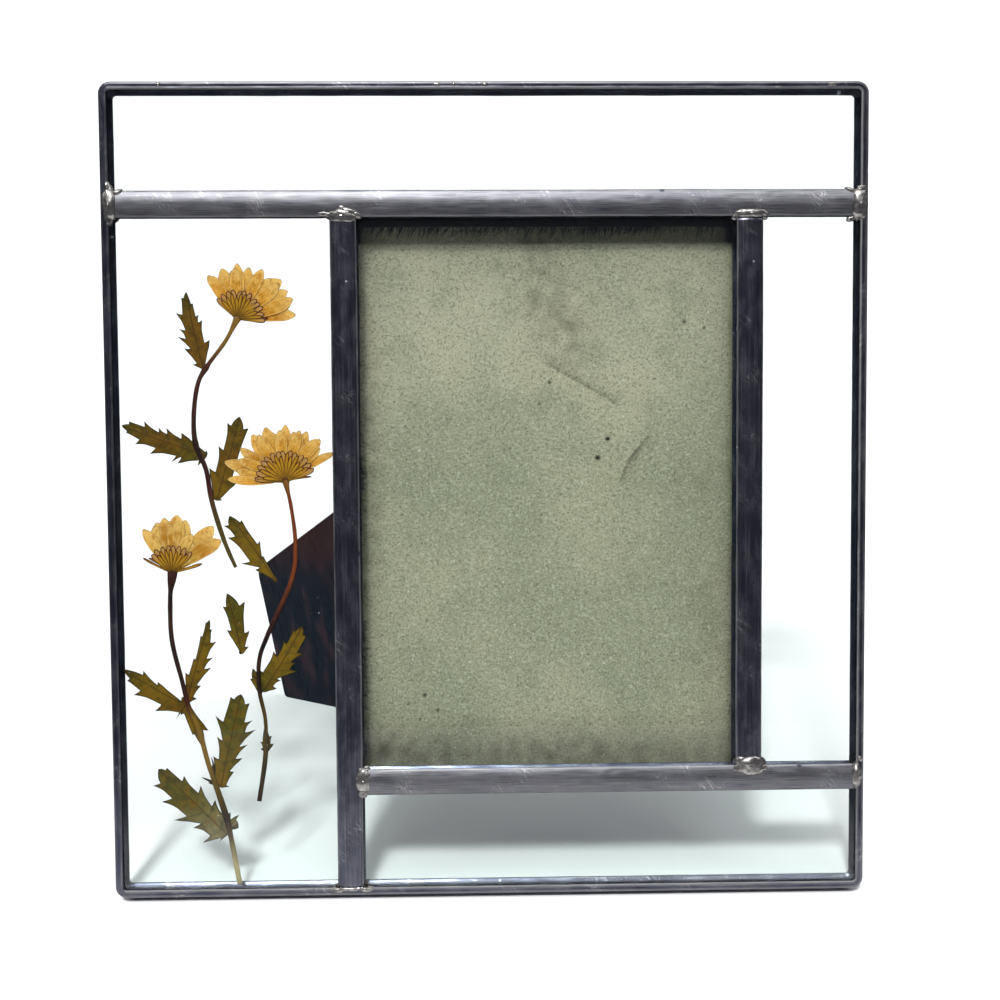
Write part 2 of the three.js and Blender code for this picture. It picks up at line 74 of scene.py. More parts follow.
top_edge = next(mount for mount in frame["record"]["mounts"] if mount["name"] == "top_edge")
LEAN = math.asin(top_edge["axis"][1])
came_low, came_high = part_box("perimeter_came")
UPRIGHT = (
    Matrix.Translation((came_low + came_high) / 2)
    @ Matrix.Rotation(-LEAN, 4, "X")
    @ Matrix.Scale(MM, 4)
    @ Matrix.Translation((0, -CAME_DEPTH / 2, 0))
)
print("leans", round(math.degrees(LEAN), 1), "degrees")

# %% [markdown]
# The camera stands 37 cm from the middle of the frame, about 10 cm higher, and looks down 16 degrees.
# That is a little more than the frame leans back, so the lower half looks slightly narrower. It could
# be aimed with a tracking constraint, but plain angles are easier to read and to change.

# %% Camera
lens = bpy.data.cameras.new("camera")
lens.lens, lens.sensor_width = 43.2, 36
camera = bpy.data.objects.new("camera", lens)
camera.location = (-0.0037, -0.3945, 0.2176)
camera.rotation_euler = [math.radians(angle) for angle in (74.21, 0.11, -1.2)]
scene.collection.objects.link(camera)
scene.camera = camera
print("lens of", round(lens.lens, 1), "mm")

# %% [markdown]
# Glass work is shown on white, so that clear panes read as clear. One lamp high in front makes the
# shadow of the top rail on the card, a broad one overhead draws the bright line along each rail, and
# two weak ones at the sides soften the shadows. Area lamps would leave the distance grey. A sun
# lights a floor evenly as far as the camera sees, and its angle is its softness.

# %% Lamps
scene.view_settings.view_transform = "Standard"

# Azimuth, 0 straight in front, elevation and softness in degrees, and strength.
LAMPS = {
    "key lamp": (-14, 54, 9, 2.7),
    "overhead lamp": (0, 68, 50, 1.8),
    "left lamp": (-85, 45, 30, 0.7),
    "right lamp": (85, 45, 30, 0.7),
}
for name, (azimuth, elevation, softness, strength) in LAMPS.items():
    light = bpy.data.lights.new(name, "SUN")
    light.angle, light.energy = math.radians(softness), strength
    azimuth, elevation = math.radians(azimuth), math.radians(elevation)
    flat = math.cos(elevation)
    lamp = bpy.data.objects.new(name, light)
    lamp.location = (flat * math.sin(azimuth), -flat * math.cos(azimuth), math.sin(elevation))
    lamp.rotation_euler = lamp.location.to_track_quat("Z", "Y").to_euler()
    scene.collection.objects.link(lamp)
print(len(LAMPS), "lamps")

# %% [markdown]
# Every finish below is a shader tree. It could be wired by hand, but in code it can be read and
# changed. One class adds a node and fills its sockets, with a link where the value is another socket,
# and wraps the nodes that come up again and again. A second one holds a material, whose colour is
# painted in layers, so that each finish reads as a short recipe.

# %% Helpers for shader trees


class Shader:
    """Adds nodes to one tree."""

    def __init__(self, tree):
        self.tree = tree

    def fill(self, sockets, key, value):
        socket = sockets[key]
        if isinstance(value, bpy.types.NodeSocket):
            self.tree.links.new(value, socket)
        else:
            socket.default_value = (*value, 1) if socket.type == "RGBA" else value

    def node(self, kind, inputs=None, **settings):
        made = self.tree.nodes.new("ShaderNode" + kind)
        for option, value in settings.items():
            setattr(made, option, value)
        for key, value in (inputs or {}).items():
            self.fill(made.inputs, key, value)
        return made

    def maths(self, operation, first, second):
        return self.node("Math", {0: first, 1: second}, operation=operation).outputs[0]

    def times(self, first, second):
        return self.maths("MULTIPLY", first, second)

    def plus(self, first, second):
        return self.maths("ADD", first, second)

    def mix(self, share, first, second, how="MIX"):
        """A colour between two others."""
        inputs = {0: share, 6: first, 7: second}
        return self.node("Mix", inputs, data_type="RGBA", blend_type=how).outputs[2]

    def ramp(self, value, low, high, to_low=0.0, to_high=1.0):
        """Goes smoothly from to_low to to_high as the value goes from low to high."""
        inputs = dict(enumerate((value, low, high, to_low, to_high)))
        return self.node("MapRange", inputs, interpolation_type="SMOOTHSTEP").outputs[0]

    def cloud(self, place, size, detail=3.0):
        """Noise from 0 to 1, in blotches of about this size in millimetres."""
        inputs = {"Vector": place, "Scale": 1 / size, "Detail": detail}
        return self.node("TexNoise", inputs).outputs["Fac"]

    def scaled(self, place, *factors):
        return self.node("VectorMath", {0: place, 1: factors}, operation="MULTIPLY").outputs[0]

    def place(self):
        """The point on the object, in millimetres."""
        return self.scaled(self.node("TexCoord").outputs["Object"], 1000, 1000, 1000)

    def kept(self, name, output="Fac"):
        """A value that the mesh keeps at each of its points."""
        return self.node("Attribute", attribute_name=name).outputs[output]

    def split(self, vector):
        return self.node("SeparateXYZ", {0: vector}).outputs

    def effect(self, made, **inputs):
        """Places a shared effect, and gives its only output."""
        return self.node("Group", inputs, node_tree=made).outputs[0]

    def reflections(self):
        """1 for a ray that was reflected, and 1 for one that has also gone through glass."""
        path = self.node("LightPath").outputs
        return [self.maths("GREATER_THAN", path[kind + " Depth"], 0.5) for kind in ("Glossy", "Transmission")]


class Finish(Shader):
    """A material whose colour is painted in layers. Uniform values go on the shader's own sockets."""

    def __init__(self, name, **plain):
        self.material = bpy.data.materials.new(name)
        self.material.use_nodes = True
        super().__init__(self.material.node_tree)
        self.surface = self.tree.nodes["Principled BSDF"]
        self.colour = None
        self.feed(**plain)

    def feed(self, **sockets):
        """Sets or links the shader's sockets, as in Base_Color=..."""
        for socket, value in sockets.items():
            self.fill(self.surface.inputs, socket.replace("_", " "), value)

    def layer(self, share, colour, how="MIX"):
        self.colour = self.mix(share, self.colour, colour, how)

    def tint(self, value, low, high, share, colour):
        """Adds up to this share of a colour as the value goes from low to high."""
        self.layer(self.ramp(value, low, high, 0.0, share), colour)

    def done(self, height=None, depth=0.0, **sockets):
        """Links the colour, and a bump for a height from 0 to 1 that stands depth millimetres tall."""
        if height:
            bump = self.node("Bump", {"Height": height, "Distance": depth * MM, "Strength": 1.0})
            sockets["Normal"] = bump.outputs["Normal"]
        self.feed(Base_Color=self.colour, **sockets)
        return self.material

    def through(self, share, shader):
        """Gives a share of the light to another shader in place of the surface."""
        inputs = {0: share, 1: self.surface.outputs[0], 2: shader.outputs[0]}
        mixed = self.node("MixShader", inputs).outputs[0]
        self.tree.links.new(mixed, self.tree.nodes["Material Output"].inputs["Surface"])
        return self.material


print("helpers for trees and for materials")

# %% [markdown]
# The floor is white card and the surroundings are white too. But dark metal and glass show what is in
# front of them, and a white room would put a grey veil on everything. A photographer hangs black cloth
# round the camera. Here the Light Path node does it: it counts how often a ray was reflected, and
# reflected rays find a dim room and a floor that fades to dark.

# %% Floor and surroundings
FLOOR_RADIUS, FLOOR_CORNERS = 6.0, 64
ROOM_DIM, ROOM_WHITE = (0.047, 0.05, 0.064), (1.3, 1.3, 1.3)


def circle(corners):
    """Points once round a circle of radius 1."""
    angles = [2 * math.pi * i / corners for i in range(corners)]
    return [(math.cos(angle), math.sin(angle)) for angle in angles]


def white_floor():
    card = Finish("white card", Roughness=0.9)
    place = card.node("TexCoord").outputs["Object"]
    distance = card.node("VectorMath", {0: place}, operation="LENGTH").outputs["Value"]
    mirrored, through_glass = card.reflections()
    dark = card.times(mirrored, card.maths("MAXIMUM", through_glass, card.ramp(distance, 0.2, 0.55)))
    card.colour = card.mix(card.cloud(place, 0.04), (0.87, 0.87, 0.87), (0.9, 0.9, 0.9))
    card.layer(dark, ROOM_DIM)
    mesh = bpy.data.meshes.new("floor")
    rim = [(FLOOR_RADIUS * x, FLOOR_RADIUS * y, 0) for x, y in circle(FLOOR_CORNERS)]
    mesh.from_pydata(rim, [], [range(FLOOR_CORNERS)])
    mesh.materials.append(card.done())
    floor = bpy.data.objects.new("floor", mesh)
    scene.collection.objects.link(floor)


def surroundings():
    scene.world = bpy.data.worlds.new("room")
    scene.world.use_nodes = True
    room = Shader(scene.world.node_tree)
    path = room.node("LightPath").outputs
    seen = room.maths("MAXIMUM", path["Is Camera Ray"], path["Is Transmission Ray"])
    seen = room.maths("SUBTRACT", seen, room.reflections()[0])
    white = room.mix(room.maths("MAXIMUM", seen, 0.0), ROOM_DIM, ROOM_WHITE)
    room.fill(room.tree.nodes["Background"].inputs, "Color", white)


white_floor()
surroundings()
print("white floor and white surroundings")

# %% [markdown]
# Some effects turn up on several finishes: specks, lengthwise streaks and stray scratches. They could
# be wired again in each material, but a node group is built once, and each material gives it its own
# sizes. A group gives only a mask, and the material decides what that does to its colour or height.

# %% Shared effects


class Effect(Shader):
    """A node group with named inputs and one named output."""

    def __init__(self, name, output, **inputs):
        super().__init__(bpy.data.node_groups.new(name, "ShaderNodeTree"))
        for label, value in inputs.items():
            kind = "NodeSocketVector" if isinstance(value, tuple) else "NodeSocketFloat"
            socket = self.tree.interface.new_socket(label, in_out="INPUT", socket_type=kind)
            socket.default_value = value
        self.tree.interface.new_socket(output, in_out="OUTPUT", socket_type="NodeSocketFloat")
        self.given = self.tree.nodes.new("NodeGroupInput").outputs
        self.out = self.tree.nodes.new("NodeGroupOutput").inputs

    def done(self, value):
        self.fill(self.out, 0, value)
        return self.tree


def specks():
    """Dots of about Size, one in each cell of Spacing, kept in that Share of the cells."""
    dots = Effect("specks", "Mask", Place=(0, 0, 0), Spacing=3.0, Size=0.4, Share=0.3)
    given = dots.given
    scale = dots.maths("DIVIDE", 1.0, given["Spacing"])
    cells = dots.node("TexVoronoi", {"Vector": given["Place"], "Scale": scale}).outputs
    lot = dots.node("SeparateColor", {0: cells["Color"]}).outputs
    radius = dots.times(dots.maths("DIVIDE", given["Size"], given["Spacing"]), lot[1])
    inside = dots.maths("LESS_THAN", cells["Distance"], radius)
    return dots.done(dots.times(inside, dots.maths("LESS_THAN", lot[0], given["Share"])))


def streaks():
    """Fine lines along x, from 0 to 1, Length long and Width wide."""
    lines = Effect("streaks", "Value", Place=(0, 0, 0), Length=30.0, Width=0.3)
    place, length, width = (lines.given[label] for label in ("Place", "Length", "Width"))
    sizes = lines.node("CombineXYZ", {0: length, 1: width, 2: width}).outputs[0]
    place = lines.node("VectorMath", {0: place, 1: sizes}, operation="DIVIDE").outputs[0]
    return lines.done(lines.cloud(place, 1.0))


def scratches():
    """Short thin scratches at a slant. Amount is the share of the surface where they show."""
    lines = Effect("scratches", "Mask", Place=(0, 0, 0), Slant=1.0, Amount=0.3)
    place = lines.given["Place"]
    turn = lines.node("CombineXYZ", {2: lines.given["Slant"]}).outputs[0]
    turned = lines.node("VectorRotate", {"Vector": place, "Rotation": turn}, rotation_type="EULER_XYZ")
    cells = {"Vector": lines.scaled(turned.outputs[0], 0.14, 1.3, 0.14), "Scale": 1.0}
    edges = lines.node("TexVoronoi", cells, feature="DISTANCE_TO_EDGE").outputs["Distance"]
    low = lines.maths("SUBTRACT", 0.75, lines.given["Amount"])
    where = lines.ramp(lines.cloud(place, 9.0), low, 0.8)
    return lines.done(lines.times(lines.ramp(edges, 0.0, 0.035, 1.0, 0.0), where))


SPECKS, STREAKS, SCRATCHES = specks(), streaks(), scratches()
print("shared effects:", [made.name for made in bpy.data.node_groups])

# %% [markdown]
# The cames are zinc with a blue-black patina: half gloss, streaked along the strip where it was rubbed,
# lighter on raised edges, with pits, scratches and a few white specks of polishing compound. The
# streaks have to follow each strip round its corners. An image map would need unwrapping, so the mesh
# keeps the distance along and around the strip in an attribute, in millimetres, instead.

# %% Patina on the cames


def patina():
    film = Finish("came patina", Metallic=0.88, IOR=1.6)
    strip, rubbed = film.kept("strip", "Vector"), film.kept("rubbed")
    long = film.effect(STREAKS, Place=strip, Length=34.0, Width=0.55)
    fine = film.effect(STREAKS, Place=strip, Length=9.0, Width=0.12)
    blotch = film.cloud(film.scaled(strip, 0.35, 1, 1), 3.2, 5.0)
    marks = film.effect(SCRATCHES, Place=strip, Slant=0.9, Amount=0.28)
    nicks = film.effect(SPECKS, Place=strip, Spacing=5.0, Size=0.7, Share=0.25)
    pits = film.effect(SPECKS, Place=film.scaled(strip, 0.6, 1, 1), Spacing=4.3, Size=0.6, Share=0.25)
    film.colour = film.mix(film.ramp(blotch, 0.35, 0.7), (0.032, 0.036, 0.062), (0.085, 0.088, 0.118))
    film.tint(long, 0.5, 0.75, 0.7, (0.17, 0.17, 0.18))
    film.tint(long, 0.44, 0.27, 0.7, (0.018, 0.019, 0.032))
    # Lighter where the metal is worn; the edge came's left side gets less, which paints it darker as painted shade.
    film.layer(film.times(rubbed, 0.5), (0.1, 0.098, 0.094))
    worn_and_shaded = film.times(rubbed, film.ramp(fine, 0.3, 0.6))
    film.layer(film.times(worn_and_shaded, 0.7), (0.32, 0.318, 0.315))
    film.layer(film.times(marks, 0.75), (0.75, 0.74, 0.74))
    film.layer(film.times(pits, 0.85), (0.02, 0.02, 0.03))
    film.layer(nicks, (0.92, 0.91, 0.9))
    gloss = film.ramp(film.plus(blotch, film.times(fine, 0.5)), 0.4, 1.1, 0.13, 0.27)
    height = film.plus(film.times(fine, 0.25), film.times(blotch, 0.8))
    height = film.maths("SUBTRACT", height, film.times(pits, 0.7))
    return film.done(height, 0.03, Roughness=film.plus(gloss, film.times(rubbed, 0.5)))


PATINA = patina()
print("patina:", len(PATINA.node_tree.nodes), "nodes")

# %% [markdown]
# Solder is tin alloy. It was melted on with an iron, so it freezes in lumps and ripples, and it takes
# the patina less well than zinc. One bumpy material on a plain blob would look painted. The lumps are
# modelled later on, and the material adds the ripple, the dirt in the hollows and the rubbed tops.

# %% Solder


def solder():
    tin = Finish("solder", Metallic=0.92, IOR=1.6)
    place = tin.place()
    lumps, grain = tin.cloud(place, 1.8), tin.cloud(place, 0.4, 2.0)
    tin.colour = tin.mix(tin.ramp(lumps, 0.35, 0.65), (0.1, 0.094, 0.09), (0.27, 0.255, 0.24))
    tin.layer(tin.times(tin.kept("rubbed"), 0.8), (0.5, 0.49, 0.48))
    tin.layer(tin.effect(SPECKS, Place=place, Spacing=2.4, Size=0.45, Share=0.25), (0.06, 0.05, 0.04))
    height = tin.plus(tin.times(grain, 0.18), lumps)
    return tin.done(height, 0.06, Roughness=tin.ramp(lumps, 0.3, 0.7, 0.4, 0.22))


SOLDER = solder()
print("solder:", len(SOLDER.node_tree.nodes), "nodes")

# %% [markdown]
# Window glass is clear, with a breath of blue-green. A glass shader alone would leave everything
# behind it dark, because lamps can't reach through a bending surface. So rays from lamps, and light
# that is already scattered, meet a plain see-through shader, and all other rays meet real glass.

# %% Glass
GLASS_TINT = (0.968, 0.992, 0.986)


def clear_glass():
    glass = Finish("clear glass", Base_Color=GLASS_TINT, Roughness=0.0, IOR=1.5, Metallic=0.0,
                   Transmission_Weight=1.0)
    path = glass.node("LightPath").outputs
    lit = glass.maths("MAXIMUM", path["Is Shadow Ray"], path["Is Diffuse Ray"])
    return glass.through(lit, glass.node("BsdfTransparent", {"Color": GLASS_TINT}))


GLASS = clear_glass()
panes = [made for name, made in frame["nodes"].items() if "_glass_" in name]
for pane in panes:
    pane.data.materials.clear()
    pane.data.materials.append(GLASS)
print(len(panes), "panes keep their own shape and get clear glass")

# %% [markdown]
# A dried plant is paper-thin, so it is lit from both sides: some light comes back from its face and
# some shines through from behind. A plain surface would look like plastic, so each material mixes in a
# Translucent one. The broad colour is kept in the mesh, point by point. The material adds what is
# fine: veins, blotches and the dark rim that a leaf gets as it dries from its edge inward.

# %% Dried leaves, petals and stems


def dried(name, gloss):
    """A plant's material, with its own colour and its place on the blade."""
    plant = Finish(name, Specular_IOR_Level=gloss)
    plant.colour = plant.kept("pigment", "Color")
    return plant, plant.kept("blade", "Vector")


def lets_light_through(plant, share, *finish, **sockets):
    plant.done(*finish, **sockets)
    return plant.through(share, plant.node("BsdfTranslucent", {"Color": plant.colour}))


def dried_leaf():
    leaf, blade = dried("dried leaf", 0.08)
    forward, sideways, inset = leaf.split(blade)
    place = leaf.place()
    blotch = leaf.cloud(place, 2.0, 5.0)
    leaf.tint(blotch, 0.5, 0.72, 0.75, (0.17, 0.075, 0.003))
    leaf.tint(blotch, 0.48, 0.28, 0.7, (0.026, 0.027, 0.003))
    wander = leaf.times(leaf.cloud(place, 1.5), 0.5)
    vein = leaf.ramp(leaf.maths("PINGPONG", leaf.plus(forward, wander), 1.1), 0.0, 0.14, 0.3, 0.0)
    net = leaf.node("TexVoronoi", {"Vector": place, "Scale": 1.1}, feature="DISTANCE_TO_EDGE")
    net = leaf.ramp(net.outputs["Distance"], 0.0, 0.12, 0.3, 0.0)
    leaf.layer(leaf.maths("MAXIMUM", vein, net), (0.2, 0.13, 0.008))
    midrib = leaf.ramp(leaf.maths("ABSOLUTE", sideways, 0.0), 0.06, 0.24, 0.8, 0.0)
    leaf.layer(midrib, (0.05, 0.022, 0.004))
    fray = leaf.plus(inset, leaf.times(leaf.cloud(place, 0.8), 0.12))
    leaf.layer(leaf.ramp(fray, 0.135, 0.45, 1.0, 0.0), (0.012, 0.014, 0.004))
    height = leaf.plus(leaf.times(blotch, 0.6), leaf.plus(vein, midrib))
    gloss = leaf.ramp(blotch, 0.3, 0.7, 0.5, 0.72)
    return lets_light_through(leaf, 0.3, height, 0.05, Roughness=gloss)


def dried_petal():
    petal, blade = dried("dried petal", 0.08)
    place, inset = petal.place(), petal.split(blade)[2]
    lines = petal.effect(STREAKS, Place=blade, Length=12.0, Width=0.22)
    blotch, crinkle = petal.cloud(place, 1.8, 4.0), petal.cloud(place, 0.7, 2.0)
    petal.tint(lines, 0.5, 0.66, 0.6, (0.42, 0.17, 0.008))
    petal.tint(lines, 0.48, 0.32, 0.55, (0.9, 0.62, 0.17))
    petal.tint(blotch, 0.52, 0.68, 0.65, (0.52, 0.2, 0.008))
    petal.tint(blotch, 0.46, 0.3, 0.4, (0.9, 0.66, 0.24))
    petal.layer(petal.ramp(inset, 0.15, 0.5, 0.4, 0.0), (0.88, 0.64, 0.24))
    # A dark line along each petal's edge, painted shade where the petals overlap.
    petal.layer(petal.ramp(inset, 0.05, 0.18, 0.6, 0.0), (0.3, 0.15, 0.02))
    petal.tint(crinkle, 0.5, 0.7, 0.35, (0.5, 0.22, 0.012))
    height = petal.plus(lines, petal.plus(blotch, crinkle))
    return lets_light_through(petal, 0.42, height, 0.12, Roughness=petal.ramp(lines, 0.3, 0.7, 0.6, 0.75))


def dried_bract():
    bract, blade = dried("dried bract", 0.08)
    forward, _, inset = bract.split(blade)
    lines = bract.effect(STREAKS, Place=blade, Length=5.0, Width=0.16)
    bract.tint(lines, 0.5, 0.7, 0.4, (0.12, 0.05, 0.004))
    outline = bract.mix(bract.ramp(forward, 4.6, 6.6), (0.13, 0.06, 0.004), (0.045, 0.003, 0.003))
    bract.layer(bract.ramp(inset, 0.14, 0.32, 1.0, 0.0), outline)
    return lets_light_through(bract, 0.2, lines, 0.05, Roughness=bract.ramp(lines, 0.3, 0.7, 0.5, 0.7))


def dried_stem():
    stalk, blade = dried("dried stem", 0.12)
    fibre = stalk.effect(STREAKS, Place=blade, Length=7.0, Width=0.13)
    stalk.tint(fibre, 0.5, 0.7, 0.45, (0.12, 0.045, 0.012))
    stalk.tint(fibre, 0.46, 0.3, 0.7, (0.008, 0.003, 0.002))
    return stalk.done(fibre, 0.06, Roughness=stalk.ramp(fibre, 0.3, 0.7, 0.4, 0.6))


LEAF, BRACT, PETAL, STEM = dried_leaf(), dried_bract(), dried_petal(), dried_stem()
print("dried:", [made.name for made in (LEAF, BRACT, PETAL, STEM)])

# %% [markdown]
# Behind the picture opening is greyboard, pressed from waste paper: grey-green, full of light and dark
# fibres and specks, unevenly aged. A scanned card would be quick, but noise gives the same grain with
# no image. The velvet on its back is flock, a black nap with a soft edge of light, which is what sheen
# is for. The leg's front is covered with glossy dark lining paper.

# %% Card, velvet and lining paper


def greyboard():
    board = Finish("greyboard", Roughness=0.92, Specular_IOR_Level=0.2)
    place = board.place()
    broad, patchy = board.cloud(place, 46.0, 2.0), board.cloud(place, 13.0, 5.0)
    grain = board.cloud(place, 0.55, 2.0)
    fibre = board.effect(STREAKS, Place=board.scaled(place, 1, 1, 0.4), Length=1.2, Width=0.35)
    dark = board.effect(SPECKS, Place=place, Spacing=1.6, Size=0.4, Share=0.25)
    light = board.effect(SPECKS, Place=board.scaled(place, 1.1, 1, 0.9), Spacing=2.4, Size=0.45, Share=0.3)
    stain = board.kept("stain")
    board.colour = board.mix(board.ramp(broad, 0.4, 0.6), (0.245, 0.232, 0.158), (0.3, 0.272, 0.186))
    # The card is lighter towards the top.
    board.layer(board.ramp(board.split(place)[2], 120, 175), (1.3, 1.24, 1.3), "MULTIPLY")
    board.tint(patchy, 0.5, 0.72, 0.4, (0.175, 0.17, 0.11))
    board.tint(fibre, 0.5, 0.7, 0.4, (0.15, 0.145, 0.095))
    board.tint(fibre, 0.47, 0.3, 0.4, (0.42, 0.41, 0.31))
    board.tint(grain, 0.52, 0.7, 0.62, (0.09, 0.085, 0.05))
    board.tint(grain, 0.46, 0.3, 0.45, (0.44, 0.43, 0.34))
    board.layer(board.times(dark, 0.5), (0.06, 0.055, 0.03))
    board.layer(board.times(light, 0.5), (0.5, 0.49, 0.4))
    # The kept value darkens the card with real holes and stains, and with painted shade and the painted shadow of the
    # top rail, near black where it is strongest.
    board.layer(stain, (0.03, 0.022, 0.009))
    board.layer(board.ramp(stain, 0.86, 1), (0.003, 0.003, 0.002))
    return board.done(board.plus(board.times(fibre, 0.7), grain), 0.06)


def velvet():
    nap = Finish("black velvet", Roughness=1.0, Specular_IOR_Level=0.1, Sheen_Weight=0.5,
                 Sheen_Roughness=0.35, Sheen_Tint=(0.5, 0.48, 0.5))
    place = nap.place()
    brushed, pile = nap.cloud(place, 14.0, 4.0), nap.cloud(place, 0.35, 2.0)
    nap.colour = nap.mix(nap.ramp(brushed, 0.35, 0.65), (0.006, 0.006, 0.007), (0.02, 0.019, 0.021))
    nap.layer(nap.effect(SPECKS, Place=place, Spacing=8.0, Size=0.5, Share=0.3), (0.3, 0.29, 0.27))
    return nap.done(pile, 0.35)


def lining_paper():
    paper = Finish("lining paper", Specular_IOR_Level=0.17)
    place = paper.place()
    rub = paper.cloud(paper.scaled(place, 0.4, 0.4, 0.04), 1.6, 2.0)
    cast = paper.plus(paper.split(place)[2], paper.times(paper.cloud(place, 30.0, 2.0), 60.0))
    dust = paper.effect(SPECKS, Place=place, Spacing=3.2, Size=0.22, Share=0.3)
    paper.colour = paper.mix(paper.ramp(cast, 78, 112), (0.005, 0.009, 0.016), (0.036, 0.011, 0.01))
    paper.tint(rub, 0.5, 0.72, 0.6, (0.055, 0.024, 0.028))
    paper.layer(paper.times(dust, 0.7), (0.4, 0.39, 0.38))
    return paper.done(paper.cloud(place, 1.6, 2.0), 0.004, Roughness=paper.ramp(rub, 0.3, 0.7, 0.25, 0.4))


GREYBOARD, VELVET, LINING = greyboard(), velvet(), lining_paper()
print("sheet finishes:", [made.name for made in (GREYBOARD, VELVET, LINING)])

# %% [markdown]
# The hinge is stamped steel with a dull nickel plating, brushed and tarnished in patches, which the
# shared effects give. Two plain finishes complete the set: black flock that has strayed under the
# glass, and pale dust on top of it. They are too small for more than one change of shade.

# %% Hinge metal, lint and dust


def hinge_metal():
    steel = Finish("nickelled steel", Metallic=1.0)
    place = steel.place()
    brushing = steel.effect(STREAKS, Place=place, Length=6.0, Width=0.15)
    tarnish = steel.cloud(place, 5.0, 5.0)
    marks = steel.effect(SCRATCHES, Place=place, Slant=0.6, Amount=0.3)
    steel.colour = steel.mix(steel.ramp(tarnish, 0.45, 0.7), (0.56, 0.54, 0.5), (0.3, 0.27, 0.23))
    steel.layer(steel.times(marks, 0.6), (0.8, 0.79, 0.76))
    gloss = steel.ramp(steel.plus(tarnish, brushing), 0.7, 1.3, 0.25, 0.5)
    return steel.done(brushing, 0.02, Roughness=gloss)


def loose_fibre(name, first, second):
    lint = Finish(name, Roughness=0.9)
    lint.colour = lint.mix(lint.cloud(lint.place(), 1.0), first, second)
    return lint.done()


HINGE = hinge_metal()
LINT = loose_fibre("black flock", (0.001, 0.001, 0.001), (0.006, 0.005, 0.004))
DUST = loose_fibre("pale dust", (0.6, 0.6, 0.58), (0.9, 0.9, 0.88))
print(len(bpy.data.materials), "materials")

# %% [markdown]
# Every piece below is built the same way: its points and faces are gathered part by part, with any
# values that its material reads, and then become one object that rides on a body of the CAD model.
# Primitives and modifiers could make the plain ones, but rings of points can make them all, so one
# heap does the bookkeeping and each piece's own code is only about its shape.

# %% The heap that gathers a piece


def grid_faces(rows, columns, closed_rows=False, closed_columns=False):
    """The four-sided faces of a grid whose points are listed row by row."""
    faces = []
    for r in range(rows if closed_rows else rows - 1):
        here, there = r * columns, (r + 1) % rows * columns
        for c in range(columns if closed_columns else columns - 1):
            on = (c + 1) % columns
            faces.append([here + c, here + on, there + on, there + c])
    return faces


class Heap:
    """Points in millimetres, faces, and values kept at the points."""

    KINDS = {"strip": ("FLOAT_VECTOR", "vector"), "blade": ("FLOAT_VECTOR", "vector"),
             "pigment": ("FLOAT_COLOR", "color")}

    def __init__(self):
        self.points, self.faces, self.values = [], [], {}

    def add(self, points, faces, **values):
        first = len(self.points)
        self.points.extend(points)
        self.faces.extend([corner + first for corner in face] for face in faces)
        for name, column in values.items():
            self.values.setdefault(name, []).extend(column)

    def add_rings(self, points, sides, joined=False, **values):
        """A tube, listed ring by ring, whose ends are joined to each other or closed."""
        faces = grid_faces(len(points) // sides, sides, joined, True)
        if not joined:
            faces += [range(sides), range(len(points) - sides, len(points))]
        self.add(points, faces, **values)

    def object(self, name, material, slot, replaces=(), body="frame", matrix=UPRIGHT, smooth=True):
        mesh = bpy.data.meshes.new(name)
        mesh.from_pydata([matrix @ Vector(point) for point in self.points], [], self.faces)
        for label, column in self.values.items():
            kind, field = self.KINDS.get(label, ("FLOAT", "value"))
            kept = mesh.attributes.new(label, kind, "POINT")
            kept.data.foreach_set(field, np.array(column, np.float32).ravel())
        mesh.materials.append(material)
        shape = bmesh.new()
        shape.from_mesh(mesh)
        bmesh.ops.recalc_face_normals(shape, faces=shape.faces)
        shape.to_mesh(mesh)
        shape.free()
        mesh.shade_smooth() if smooth else mesh.shade_flat()
        made = bpy.data.objects.new(name, mesh)
        scene.collection.objects.link(made)
        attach(made, body)
        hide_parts(*replaces)
        return made


def thicken(made, thickness, toward_front=False):
    """Gives a sheet its thickness, to the back or to the front, and closes its edges."""
    solid = made.modifiers.new("thickness", "SOLIDIFY")
    solid.thickness = thickness * MM
    solid.offset = 1 if (made.data.polygons[0].normal.y > 0) != toward_front else -1


def wobble(seed, *place):
    """Smooth noise between about -1 and 1."""
    x, y, z = (*place, 0, 0)[:3]
    return noise.noise(Vector((x + seed * 17.3, y - seed * 5.1, z + seed * 9.7)))


print("a heap for points, faces and values")

# %% [markdown]
# An inner came is an H in section: two flanges that hold the glass, joined by a heart. Its faces are
# rounded and never quite straight, because the strip was bent and rubbed by hand. A curve object with
# a profile would be quick, but it can't carry dents. So the section is drawn as a list of points and
# set down about every millimetre, and each ring wavers a little.

# %% Inner cames
RING_STEP, CROWN_STEPS = 1.2, 14
HEART_HALF, LIP = 0.5, 0.16
BAR_DENTS = 14
EDGE_REACH, REACH = WIDTH / 2 - EDGE_SIGHT - 0.3, BAR_HALF + 0.3


def crown(across):
    """How far behind the front face a rounded came's surface lies."""
    return BAR_EDGE - BAR_CROWN * (1 - (across / BAR_HALF) ** 2)


def bar_section(wear, rear):
    """Across, depth and wear, once round the H. rear is the back flange's share of the width."""
    front = []
    for i in range(CROWN_STEPS + 1):
        across = -BAR_HALF + 2 * BAR_HALF * i / CROWN_STEPS
        at_edge = abs(across) > BAR_HALF * 0.93
        front.append((across * (0.985 if at_edge else 1), crown(across), max(0.8, wear) if at_edge else wear))
    side = [(BAR_HALF, BAR_EDGE + LIP, 0.5), (BAR_HALF, CAME_WALL - LIP, 0),
            (BAR_HALF - LIP, CAME_WALL, 0), (HEART_HALF, CAME_WALL, 0)]
    behind = [(a * rear if a > HEART_HALF else a, CAME_DEPTH - d, w) for a, d, w in side]
    back = [(-a * rear, CAME_DEPTH - d, w) for a, d, w in front]
    left = [(-a, d, w) for a, d, w in side[::-1]]
    return front + side + behind[::-1] + back + [(-a, d, w) for a, d, w in behind] + left


